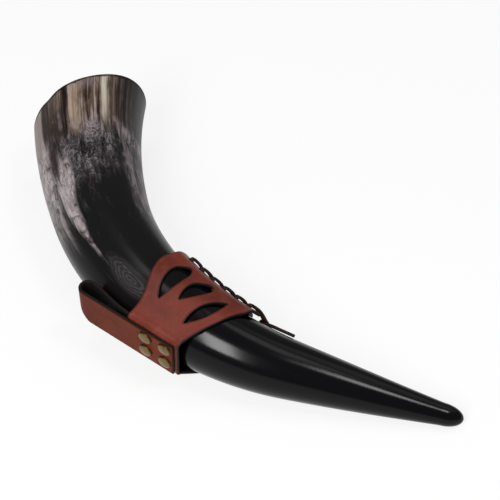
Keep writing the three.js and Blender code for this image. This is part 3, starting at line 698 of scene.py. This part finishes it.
def horn_piece():
    wear = rim_wear()
    outer_rim = rim_station(horn_radius) + wear
    inner_rim = rim_station(hollow_radius) + wear
    outside = outside_rows(outer_rim)
    lip = lip_rows(outer_rim, inner_rim)
    # Rows run from the rounded tip up to the lip, over it and down to the end of the hollow
    laid = outside + lip + hollow_rows(inner_rim)
    rows = len(laid)
    points = np.concatenate([row for row, _ in laid])
    faces = [face[::-1] for face in grid_faces(rows, HORN_SIDES)]
    # One point closes each end
    count = len(points)
    ends = [points[:HORN_SIDES].mean(0), points[-HORN_SIDES:].mean(0)]
    points = np.concatenate([points, ends])
    for j in range(HORN_SIDES):
        nxt = (j + 1) % HORN_SIDES
        faces.append((count, nxt, j))
        faces.append((count + 1, count - HORN_SIDES + j, count - HORN_SIDES + nxt))
    end_stations = [HORN_LENGTH + HORN_RADII[-1], CAVITY_DEPTH + CAVITY_END_RADIUS]
    stations = np.concatenate([*(station for _, station in laid), end_stations])
    around = np.append(np.tile(SIDE_ANGLES, rows), [0, 0])
    row_of = np.append(np.repeat(np.arange(rows), HORN_SIDES), [0, rows - 1])
    from_rim = stations - np.append(np.tile(outer_rim, rows), [0, 0])
    from_rim[row_of >= len(outside)] = 0.0
    place = np.stack([stations, np.cos(around), np.sin(around)], 1)
    last_lip = len(outside) + len(lip) - 1
    slots = np.where([min(row_of[list(face)]) >= last_lip for face in faces], 1, 0)
    return make_piece(
        "horn_body", on_table(points), faces, [polished_horn(), raw_hollow()], slots,
        {"horn_place": place, "from_rim": from_rim},
    )


# Sleeve
STEEPEST = 1.4
MIDDLE_OF_LEATHER = 3.0
PLAN_SCALE = np.array([0.47, 1.0])


def sleeve_reach(station, angle):
    """Reach of the sleeve's inside: flat, straight, wrapped, and lifted at the lace."""
    point, _, _ = axis_at(station)
    flat = (SLEEVE_HEIGHT - (point - FLAT_ORIGIN) @ FLAT_OUTWARD) / (flat_spoke(station) @ FLAT_OUTWARD)
    lift = 1 - smooth_step(LIFT_START, LIFT_END, pi - np.abs(pi - angle))
    snug = horn_radius(station) + HORN_CLEARANCE
    wrapped = snug + (SLEEVE_LIFT - HORN_CLEARANCE) * lift
    from_flat = np.abs(FLAT_ANGLE - angle)
    half = FLAT_WIDTH / 2 + np.where(angle < FLAT_ANGLE, FLAT_SHIFT, -FLAT_SHIFT)
    leave = np.arctan2(half, flat) + np.arccos(snug / np.hypot(flat, half))
    straight = snug / np.cos(np.minimum(np.abs(from_flat - leave), STEEPEST))
    level = flat / np.cos(np.minimum(from_flat, STEEPEST))
    level = np.where(from_flat < STEEPEST, level, np.inf)
    soft = FLAT_CORNER_SOFTNESS
    rounded = np.minimum(straight, level) - soft * np.log1p(np.exp(-np.abs(straight - level) / soft))
    return np.where(from_flat >= leave, wrapped, rounded)


def sleeve_point(station, angle, height):
    point, side, up = holder_axes(station)

    def corner(a):
        reach = sleeve_reach(station, a)
        return np.stack([reach * np.cos(a), reach * np.sin(a)], -1)

    nudge = 4e-3
    here = corner(angle)
    run = unit(corner(angle + nudge) - corner(angle - nudge))
    x = here[:, 0] + run[:, 1] * height
    y = here[:, 1] - run[:, 0] * height
    return point + x[:, None] * side + y[:, None] * up


def mouth_edge(from_flat):
    return -FLAT_LENGTH / 2 - MOUTH_EDGE_SWEEP * smooth_step(MOUTH_EDGE_START, MOUTH_EDGE_END, from_flat)


def tip_edge(from_flat):
    share = np.maximum(from_flat - TIP_EDGE_START, 0) / (180 - LACED_EDGE - TIP_EDGE_START)
    return FLAT_LENGTH / 2 + TIP_EDGE_SWEEP * share


# Crescent cut-outs: point, two pulls, end and two pulls back, in angle from the flat and station
CRESCENTS = [
    ((59.5, -9.6), (78, -16.5), (112, -23), (125, -13), (124, -7.5), (100, -7.2)),
    ((74.5, -0.6), (86, -3.2), (114, -5), (125, 5), (126, 11.5), (104, 9.5)),
    ((51.5, 10.2), (68, 8.6), (94, 10.8), (115, 21.9), (96, 22), (70, 18)),
]


def bezier(a, b, c, d, steps):
    t = np.linspace(0, 1, steps, endpoint=False)[:, None]
    a, b, c, d = (np.array(p, float) for p in (a, b, c, d))
    return (1 - t) ** 3 * a + 3 * t * (1 - t) ** 2 * b + 3 * t**2 * (1 - t) * c + t**3 * d


def millimetres_per_degree(station):
    return radians(1) * (horn_radius(HOLDER_STATION + station) + MIDDLE_OF_LEATHER)


def round_corners(line, sharp, reach):
    """A closed line with the given corners eased over a reach in points."""
    line = line.copy()
    for corner in sharp:
        near = np.arange(corner - reach, corner + reach + 1) % len(line)
        t = np.linspace(0, 1, len(near))[:, None]
        line[near] = bow(*line[near[[0, reach, -1]]], t)
    return line


def sleeve_outlines():
    """Closed lines in angle from the flat and station, leather to the left of each."""
    edge = 180 - LACED_EDGE
    sweep = np.linspace(-edge, edge, 261)
    mouth = np.stack([sweep, mouth_edge(np.abs(sweep))], 1)
    tip = np.stack([sweep[::-1], tip_edge(np.abs(sweep[::-1]))], 1)
    near = np.linspace(mouth[-1], tip[0], 90)[1:-1]
    far = np.linspace(tip[-1], mouth[0], 90)[1:-1]
    border = np.concatenate([mouth, near, tip, far])
    corners = np.cumsum([0, len(mouth) - 1, len(near) + 1, len(tip) - 1])
    lines = [round_corners(border, corners, reach=4)]
    for point, *rest in CRESCENTS:
        for sign in (1, -1):
            curve = np.concatenate([bezier(point, *rest[:3], 44), bezier(*rest[2:], point, 44)])
            curve[:, 0] *= sign
            lines.append(curve)
    ring = full_turn(28)
    for pair in range(LACE_PAIRS):
        station = LACE_FIRST_HOLE + LACE_HOLE_PITCH * pair
        for sign in (1, -1):
            wide = LACE_HOLE_RADIUS / millimetres_per_degree(station)
            angle = sign * (180 - LACE_HOLE_ANGLE) + wide * np.cos(ring)
            lines.append(np.stack([angle, station + LACE_HOLE_RADIUS * np.sin(ring)], 1))
    for k, line in enumerate(lines):
        nxt = np.roll(line, -1, 0)
        area = (line[:, 0] * nxt[:, 1] - nxt[:, 0] * line[:, 1]).sum()
        if (area > 0) != (k == 0):
            lines[k] = line[::-1]
    return lines


def inset(line, distance):
    """A closed line moved into the leather by a distance in millimetres."""
    scale = millimetres_per_degree(line[:, 1])
    ahead = np.roll(line, -1, 0) - np.roll(line, 1, 0)
    run = unit(np.stack([ahead[:, 0] * scale, ahead[:, 1]], 1))
    return line + distance * np.stack([-run[:, 1] / scale, run[:, 0]], 1)


def inside(lines, points):
    """Even and odd crossings of all the lines."""
    odd = np.zeros(len(points), bool)
    for line in lines:
        for (x0, y0), (x1, y1) in zip(line, np.roll(line, -1, 0)):
            if y0 == y1:
                continue
            crosses = (y0 > points[:, 1]) != (y1 > points[:, 1])
            at = x0 + (points[:, 1] - y0) * (x1 - x0) / (y1 - y0)
            odd ^= crosses & (points[:, 0] < at)
    return odd


def distances(points, border):
    return np.array([sqrt(((border - p) ** 2).sum(1).min()) for p in points])


def leather_cap(lines, pitch):
    """Points and triangles of the leather between the lines, in angle and station."""
    flat = [line * PLAN_SCALE for line in lines]
    border = np.concatenate(flat)
    low, high = border.min(0), border.max(0)
    row_pitch = 0.866 * pitch
    clear = 0.62 * pitch
    grid = []
    for k, y in enumerate(np.arange(low[1], high[1], row_pitch)):
        grid += [(x, y) for x in np.arange(low[0] + (k % 2) * pitch / 2, high[0], pitch)]
    grid = np.array(grid)
    grid = grid[inside(flat, grid)]
    grid = grid[distances(grid, border) > clear]
    verts = [Vector(p) for p in np.concatenate([border, grid])]
    edges, start = [], 0
    for line in flat:
        count = len(line)
        edges += [(start + k, start + (k + 1) % count) for k in range(count)]
        start += count
    points, _, faces, origin, _, _ = delaunay_2d_cdt(verts, edges, [], 2, 1e-7)
    points = np.array([tuple(p) for p in points])
    middles = np.array([points[list(face)].mean(0) for face in faces])
    faces = [face for face, held in zip(faces, inside(flat, middles)) if held]
    first = {old: new for new, olds in enumerate(origin) for old in olds}
    return points / PLAN_SCALE, faces, [first[k] for k in range(len(border))]


# Worn edge of the sleeve: distance into the leather and share of its thickness, from the top down
EDGE_PROFILE = [
    (0.6, 1.0), (0.32, 0.97), (0.1, 0.87), (0.0, 0.72), (0.0, 0.3), (0.1, 0.12), (0.3, 0.03), (0.5, 0.0),
]


def sleeve_piece():
    lines = sleeve_outlines()
    border = np.concatenate([line * PLAN_SCALE for line in lines])

    def lay(points, height):
        return sleeve_point(HOLDER_STATION + points[:, 1], pi - np.radians(points[:, 0]), height)

    top_lines = [inset(line, EDGE_PROFILE[0][0]) for line in lines]
    low_lines = [inset(line, EDGE_PROFILE[-1][0]) for line in lines]
    top, top_faces, top_border = leather_cap(top_lines, pitch=1.7)
    low, low_faces, low_border = leather_cap(low_lines, pitch=2.2)
    points = [lay(top, LEATHER), lay(low, 0.0)]
    away = [distances(cap * PLAN_SCALE, border) for cap in (top, low)]
    faces = [tuple(face) for face in top_faces]
    faces += [tuple(len(top) + k for k in face[::-1]) for face in low_faces]
    slots = [0] * len(top_faces) + [2] * len(low_faces)
    count = len(top) + len(low)
    rings = [top_border]
    for distance, share in EDGE_PROFILE[1:-1]:
        ring = np.concatenate([inset(line, distance) for line in lines])
        points.append(lay(ring, LEATHER * share))
        away.append(np.full(len(ring), distance))
        rings.append(list(range(count, count + len(ring))))
        count += len(ring)
    rings.append([len(top) + k for k in low_border])
    start = 0
    for line in lines:
        size = len(line)
        for level, (upper, lower) in enumerate(zip(rings, rings[1:])):
            for k in range(size):
                a, b = start + k, start + (k + 1) % size
                faces.append((upper[a], lower[a], lower[b], upper[b]))
                slots.append(0 if level == 0 else 1)
        start += size
    grain = leather_grain("sleeve_grain", ink(107, 40, 25), ink(86, 32, 19), ink(124, 64, 54), 1.3)
    return make_piece(
        "sleeve_leather", on_table(np.concatenate(points)), faces,
        [grain, leather_edge(), leather_flesh()], slots, {"from_edge": np.concatenate(away)},
    )


# Belt loop strap
def strap_line(across):
    """Middle line of the strap at a place across it. The fold is wider at the lower edge."""
    inner = INNER_LEG_HEIGHT + LEATHER / 2
    front = FRONT_LEG_HEIGHT + LEATHER / 2
    low = inner - FOLD_DIP - FOLD_SPREAD * across / STRAP_WIDTH
    fold = (front - low) / 2
    lower = np.clip((across / STRAP_WIDTH - FOLD_CORNER_START) / (0.5 - FOLD_CORNER_START), 0, 1)
    centre = FOLD_END + fold + LEATHER / 2 + FOLD_CORNER * lower**3
    pulls = (LOOP_START - LOOP_EASE_OUT, inner), (centre + LOOP_EASE_IN, low)
    loop = bezier((LOOP_START, inner), *pulls, (centre, low), 30)
    turn = np.linspace(-pi / 2, -1.5 * pi, 33)
    folded = np.stack([centre + fold * np.cos(turn), low + fold + fold * np.sin(turn)], 1)
    inner_leg = [(x, inner) for x in np.linspace(STRAP_END, LOOP_START, 24, endpoint=False)]
    front_leg = [(x, front) for x in np.linspace(centre, STRAP_END, 56)[1:]]
    return np.concatenate([inner_leg, loop, folded, front_leg])


def strap_section():
    """Round-edged section of the strap, as places across it and through it."""
    half = STRAP_WIDTH / 2
    thick = LEATHER / 2
    ease = STRAP_EDGE_ROUNDING
    corner = np.linspace(0, pi / 2, 5)
    section = []
    for sx, sy, turn in ((1, 1, 0), (-1, 1, 1), (-1, -1, 2), (1, -1, 3)):
        for a in corner + turn * pi / 2:
            across = sx * (half - ease) + ease * cos(a)
            section.append((across, sy * (thick - ease) + ease * sin(a)))
        if turn in (0, 2):
            spread = np.linspace(half - ease, ease - half, 17)[1:-1] * sy
            section += [(z, sy * thick) for z in spread]
    return np.array(section)


def strap_piece():
    section = strap_section()
    lines = np.stack([strap_line(z) for z in section[:, 0]], 1)
    rows, columns = lines.shape[:2]
    run = unit(np.gradient(lines, axis=0))
    left = np.stack([-run[..., 1], run[..., 0]], -1)
    through = section[:, 1:]
    points = np.empty((rows, columns, 3))
    points[..., :2] = lines + through * left
    points[..., 2] = section[:, 0]
    # The two ends are eased by drawing the last rows in
    for end, inner in ((0, 1), (rows - 1, rows - 2)):
        points[end, :, :2] = lines[end] + through * STRAP_END_THINNING * left[end]
        drawn_in = lines[end] + STRAP_END_EASE * unit(lines[inner] - lines[end])
        points[inner, :, :2] = drawn_in + through * left[inner]
    faces = tube_faces(rows, columns)
    face = 0.86 * LEATHER / 2
    middle = (section[:, 1] + np.roll(section[:, 1], -1)) / 2
    kind = np.where(middle > face, 0, np.where(middle < -face, 2, 1))
    slots = np.tile(kind, (rows - 1, 1))
    slots[[0, -1]] = 1
    slots = [*slots.ravel(), 1, 1]
    steps = np.linalg.norm(np.diff(lines[:, 0], axis=0), axis=1)
    reach = np.append(0, np.cumsum(steps))
    from_end = np.minimum(reach, reach[-1] - reach)
    edge = np.minimum(STRAP_WIDTH / 2 - np.abs(section[None, :, 0]), from_end[:, None])
    grain = leather_grain("strap_grain", ink(103, 45, 25), ink(84, 35, 20), ink(110, 56, 39), 1.1)
    return make_piece(
        "strap_leather", on_flat(points), faces,
        [grain, leather_edge(), leather_flesh()], slots, {"from_edge": edge.ravel()},
    )


# Rivets
RIVETS = [
    (RIVET_SHIFT + row * RIVET_SPACING_ALONG / 2, line * RIVET_SPACING_ACROSS / 2 - RIVET_RISE)
    for row in (-1, 1) for line in (-1, 1)
]

# Lines of reach and height: the underside of a cap, and a post's flange
CAP_RADIUS = 4.5
CAP_EDGE = 0.55
CAP_RISE = 1.35
PIN_POINT = 0.02
CAP_UNDERSIDE = [(1.7, 1.1), (1.7, 0.0), (3.9, 0.0), (4.3, 0.06), (4.47, 0.22), (CAP_RADIUS, 0.42)]
POST_FLANGE = [(3.9, 0.4), (4.15, 0.5), (4.2, 0.75), (4.15, 1.05), (3.9, 1.1), (1.6, 1.1), (1.5, 1.3)]


def turned_piece(name, profile, x, height, z, finish):
    """A body turned from a line of reach and height, standing on the flat."""
    sides = 56
    profile = np.array(profile)
    turn = full_turn(sides)
    points = np.empty((len(profile), sides, 3))
    points[..., 0] = x + profile[:, :1] * np.cos(turn)
    points[..., 1] = height + profile[:, 1:]
    points[..., 2] = z + profile[:, :1] * np.sin(turn)
    faces = tube_faces(len(profile), sides)
    rim = np.repeat(profile[:, 0].max() - profile[:, 0], sides)
    return make_piece(name, on_flat(points), faces, [finish], None, {"from_cap_rim": rim})


def rivet_pieces(finish):
    cap_line = CAP_UNDERSIDE + [(4.44, CAP_EDGE)]
    for turn in np.linspace(0.05, 1, 14) * pi / 2:
        reach = max((CAP_RADIUS - 0.1) * cos(turn), PIN_POINT)
        cap_line.append((reach, CAP_EDGE + CAP_RISE * sin(turn) ** 0.9))
    top = CAP_BASE + 0.9
    shank = [(1.5, CAP_BASE + 0.8), (1.4, top), (PIN_POINT, top)]
    post_line = [(PIN_POINT, 0.4)] + POST_FLANGE + shank
    made = []
    for k, (x, z) in enumerate(RIVETS, 1):
        cap = turned_piece(f"rivet_head_{k}", cap_line, x, CAP_BASE, z, finish)
        stem = turned_piece(f"rivet_stem_{k}", post_line, x, 0.0, z, finish)
        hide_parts(f"rivet_cap_{k}")
        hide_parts(f"rivet_post_{k}")
        made += [cap, stem]
    return made


# Lace
LACED_STATIONS = np.linspace(HOLDER_STATION - 60, HOLDER_STATION + 90, 301)


def hole_station(pair):
    return HOLDER_STATION + LACE_FIRST_HOLE + LACE_HOLE_PITCH * pair


def hole_turn(station):
    """Steps of angle and height into a hole."""
    rise = (LACE_TOP - LACE_UNDER) / 2
    bend = degrees(rise / (float(horn_radius(station)) + LACE_UNDER + rise))
    share = 1 - sqrt(0.5)
    return [(bend * share, rise * (1 - share)), (bend, rise)]


def lace_pass(pair, side):
    """From a hole over the gap to under the next hole on the other side."""
    start = hole_station(pair)
    turn = hole_turn(start)
    low = LACE_UNDER
    over = LACE_UNDER + SLEEVE_LIFT
    slack = LACE_CLEARANCE
    shares = [LACE_DIP_SHARE, LACE_CROSSING_SHARE, 0, -LACE_CROSSING_SHARE, -1]
    if side > 0:
        heights = [LACE_MIDDLE + slack, low + slack, low, low, low]
    else:
        heights = [LACE_TOP, over + slack, over, over - slack, low]
    route = [(LACE_HOLE_ANGLE, LACE_MIDDLE)]
    route += [(LACE_HOLE_ANGLE - short, LACE_MIDDLE + rise) for short, rise in turn]
    route.append((LACED_EDGE, LACE_TOP))
    route += [(share * LACED_EDGE, height) for share, height in zip(shares, heights)]
    route += [(short - LACE_HOLE_ANGLE, LACE_MIDDLE - rise) for short, rise in turn[::-1]]
    free = LACE_HOLE_ANGLE - turn[-1][0]

    def station(angle):
        rest = min((LACE_HOLE_ANGLE + angle) / (LACE_HOLE_ANGLE + free), 1) ** LACE_SLANT_POWER
        return start + LACE_HOLE_PITCH * (1 - rest)

    return [(station(angle), side * angle, height) for angle, height in route]


def lace_end(side):
    start = hole_station(LACE_PAIRS - 1)
    knot = HOLDER_STATION + KNOT_STATION
    twist = LACE_DIAMETER / 2 + LACE_CLEARANCE
    route = [(start, side * LACE_HOLE_ANGLE, LACE_MIDDLE)]
    for short, rise in hole_turn(start):
        route.append((start, side * (LACE_HOLE_ANGLE - short), LACE_MIDDLE + rise))
    route.append(((start + knot) / 2, side * LACED_EDGE, LACE_TOP))
    for k in range(KNOT_STEPS + 1):
        turn = 2 * pi * k / KNOT_STEPS + (0 if side > 0 else pi)
        angle = side * KNOT_HALF_ANGLE * (1 - 2 * k / KNOT_STEPS)
        height = LACE_UNDER + twist * (1 + cos(turn))
        route.append((knot + side * twist * sin(turn), angle, height))
    for past, angle in TAIL_ROUTE:
        route.append((knot + past, -side * angle, LACE_UNDER + LACE_CLEARANCE))
    return route


def lace_route():
    """Stations, angles and heights of the whole lace, from one tail to the other."""
    def thread(side):
        route = []
        for pair in range(LACE_PAIRS - 1):
            route += lace_pass(pair, side)
            side = -side
        return route + lace_end(side)

    start = hole_station(0)
    half = [(LACE_HOLE_ANGLE - short, LACE_MIDDLE - drop) for short, drop in hole_turn(start)]
    half += [(LACED_EDGE, LACE_UNDER), (LACED_EDGE / 3, LACE_UNDER)]
    lower = [(start, -angle, height) for angle, height in half]
    upper = [(start, angle, height) for angle, height in half]
    return np.array(thread(-1)[::-1] + lower + upper[::-1] + thread(1))


def between(t, a_time, b_time, a, b):
    """Place at a time on the straight way from a to b."""
    return (b_time - t) / (b_time - a_time) * a + (t - a_time) / (b_time - a_time) * b


def smooth_route(points, step):
    """Even points along a centripetal curve through the given ones."""
    p = np.vstack([2 * points[0] - points[1], points, 2 * points[-1] - points[-2]])
    made = []
    for k in range(1, len(p) - 2):
        knots = [0.0]
        for a, b in zip(p[k - 1:k + 2], p[k:k + 3]):
            knots.append(knots[-1] + max(np.linalg.norm(b - a), 1e-6) ** 0.5)
        t0, t1, t2, t3 = knots
        t = np.linspace(t1, t2, 14, endpoint=False)[:, None]
        a1 = between(t, t0, t1, p[k - 1], p[k])
        a2 = between(t, t1, t2, p[k], p[k + 1])
        a3 = between(t, t2, t3, p[k + 1], p[k + 2])
        made.append(between(t, t1, t2, between(t, t0, t2, a1, a2), between(t, t1, t3, a2, a3)))
    made = np.concatenate(made + [points[-1:]])
    reach = np.append(0, np.cumsum(np.linalg.norm(np.diff(made, axis=0), axis=1)))
    even = np.linspace(0, reach[-1], int(reach[-1] / step) + 1)
    return np.stack([np.interp(even, reach, made[:, k]) for k in range(3)], 1), even


def knot_bights():
    """Two bights of the lace over the crossing of its ends."""
    knot = HOLDER_STATION + KNOT_STATION
    middle = LACE_UNDER + LACE_DIAMETER / 2 + LACE_CLEARANCE
    turn = np.linspace(-KNOT_TURN, KNOT_TURN, 15)
    high = middle + np.where(np.cos(turn) > 0, KNOT_REACH, KNOT_REACH / 2) * np.cos(turn)
    for lean in (-1, 1):
        yield knot + KNOT_REACH * np.sin(turn), lean * (KNOT_SPREAD - KNOT_LEAN * turn), high


def thong(route, first):
    """Points, faces and places of a flat thong along a route."""
    route, reach = smooth_route(route, step=0.7)
    run = unit(np.gradient(route, axis=0))
    middles = axis_at(LACED_STATIONS)[0]
    away = unit(route - np.array([middles[((middles - p) ** 2).sum(1).argmin()] for p in route]))
    # The flat side follows the leather and turns on through the holes
    side = np.empty_like(route)
    side[0] = unit(np.cross(away[0], run[0]))
    for k in range(1, len(route)):
        carried = unit(side[k - 1] - run[k] * (side[k - 1] @ run[k]))
        flat = np.cross(away[k], run[k])
        flat *= np.sign(flat @ carried) * smooth_step(0.3, 0.7, np.linalg.norm(flat))
        side[k] = unit(carried + 0.35 * flat)
    other = np.cross(run, side)
    sides = 16
    full = THONG_FULLNESS
    turn = full_turn(sides)
    plump = (np.abs(np.cos(turn)) ** full + np.abs(np.sin(turn)) ** full) ** (-1 / full)
    x = THONG_WIDTH / 2 * plump * np.cos(turn)
    y = THONG_THICKNESS / 2 * plump * np.sin(turn)
    points = route[:, None] + x[None, :, None] * side[:, None] + y[None, :, None] * other[:, None]
    faces = tube_faces(len(route), sides, first)
    place = np.stack([np.repeat(reach, sides), np.tile(x, len(route)), np.tile(y, len(route))], 1)
    return points.reshape(-1, 3), faces, place


def lace_piece():
    points, faces, places = [], [], []
    for station, angle, height in (lace_route().T, *knot_bights()):
        made = thong(over_horn(station, angle, height), sum(map(len, points)))
        points.append(made[0])
        faces += made[1]
        places.append(made[2])
    return make_piece(
        "lace_cord", on_table(np.concatenate(points)), faces, [dark_lace()], None,
        {"lace_place": np.concatenate(places)},
    )


# Pieces on their bodies
horn = horn_piece()
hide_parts("horn_shell")
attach(horn, "horn")
sleeve = sleeve_piece()
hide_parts("holder_sleeve")
strap = strap_piece()
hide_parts("belt_loop_strap")
lace = lace_piece()
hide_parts("lace")
rivets = rivet_pieces(antique_brass())
for piece in (sleeve, strap, lace, *rivets):
    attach(piece, "holder")


# Floor, with a glow where the camera or a reflection sees it
FLOOR_HALF = 15.0
FLOOR_TONE = (0.86, 0.86, 0.86)
FLOOR_GLOW = 0.8
WHITE = (1.0, 1.0, 1.0)


def pale_floor():
    paper = Finish("pale_floor")
    seen = paper.add("ShaderNodeLightPath", None, None, "Is Camera Ray")
    shine = paper.add("ShaderNodeLightPath", None, None, "Is Glossy Ray")
    through = paper.add("ShaderNodeLightPath", None, None, "Is Transmission Ray")
    share = seen.math("MAXIMUM", seen, shine.math("MAXIMUM", shine, through)) * FLOOR_GLOW
    matte = Tap(paper, paper.shader.outputs[0])
    glow = paper.add("ShaderNodeEmission", None, {"Color": WHITE, "Strength": 1.0})
    both = paper.add("ShaderNodeMixShader", None, {0: share, 1: matte, 2: glow})
    paper.feed(paper.tree.nodes["Material Output"].inputs["Surface"], both)
    return paper.set(Base_Color=FLOOR_TONE, Roughness=0.9)


corners = [(x * FLOOR_HALF, y * FLOOR_HALF, 0) for x, y in ((-1, -1), (1, -1), (1, 1), (-1, 1))]
floor = make_piece("floor", corners, [(0, 1, 2, 3)], [pale_floor()])


# Lamps: azimuth and elevation in degrees, distance, width and height in metres, power in watts
SOFT_BOXES = {
    "front_box": (-82, 41, 1.53, 0.32, 0.85, 18.2),
    "strip_box": (8, 63.5, 1.67, 0.4, 0.27, 5.2),
    "top_box": (68, 69.5, 1.62, 0.55, 0.4, 1.3),
    "back_box": (70, 46, 2.0, 1.2, 0.8, 2.0),
    "panel_box": (174, 76, 1.6, 0.42, 0.42, 3.2),
}
SKY_LIGHT = 0.27


def soft_box(name, azimuth, elevation, distance, wide, high, power):
    az = radians(azimuth)
    el = radians(elevation)
    away = Vector((cos(el) * cos(az), cos(el) * sin(az), sin(el)))
    lamp = bpy.data.lights.new(name, "AREA")
    lamp.shape = "RECTANGLE"
    lamp.size = wide
    lamp.size_y = high
    lamp.energy = power
    holder = bpy.data.objects.new(name, lamp)
    holder.location = away * distance
    holder.rotation_euler = away.to_track_quat("Z", "Y").to_euler()
    scene.collection.objects.link(holder)


for name, values in SOFT_BOXES.items():
    soft_box(name, *values)

world = bpy.data.worlds.new("studio")
world.use_nodes = True
sky = world.node_tree.nodes["Background"]
sky.inputs["Color"].default_value = (*WHITE, 1.0)
sky.inputs["Strength"].default_value = SKY_LIGHT
scene.world = world

# Camera of the photo, in metres, with its lens and sensor in millimetres
CAMERA_PLACE = Vector((0.351779, -0.492714, 0.630224))
CAMERA_AIM = Vector((-0.010339, 0.038716, 0.00058))
CAMERA_ROLL = radians(0.5885)
lens = bpy.data.cameras.new("photo_camera")
lens.sensor_width = 36.0
lens.lens = 99.6295
lens.clip_start = 0.01
camera = bpy.data.objects.new("photo_camera", lens)
facing = (CAMERA_AIM - CAMERA_PLACE).to_track_quat("-Z", "Y").to_matrix()
rolled = facing @ Matrix.Rotation(CAMERA_ROLL, 3, "Z")
camera.matrix_world = Matrix.Translation(CAMERA_PLACE) @ rolled.to_4x4()
scene.collection.objects.link(camera)
scene.camera = camera
scene.view_settings.view_transform = "Standard"
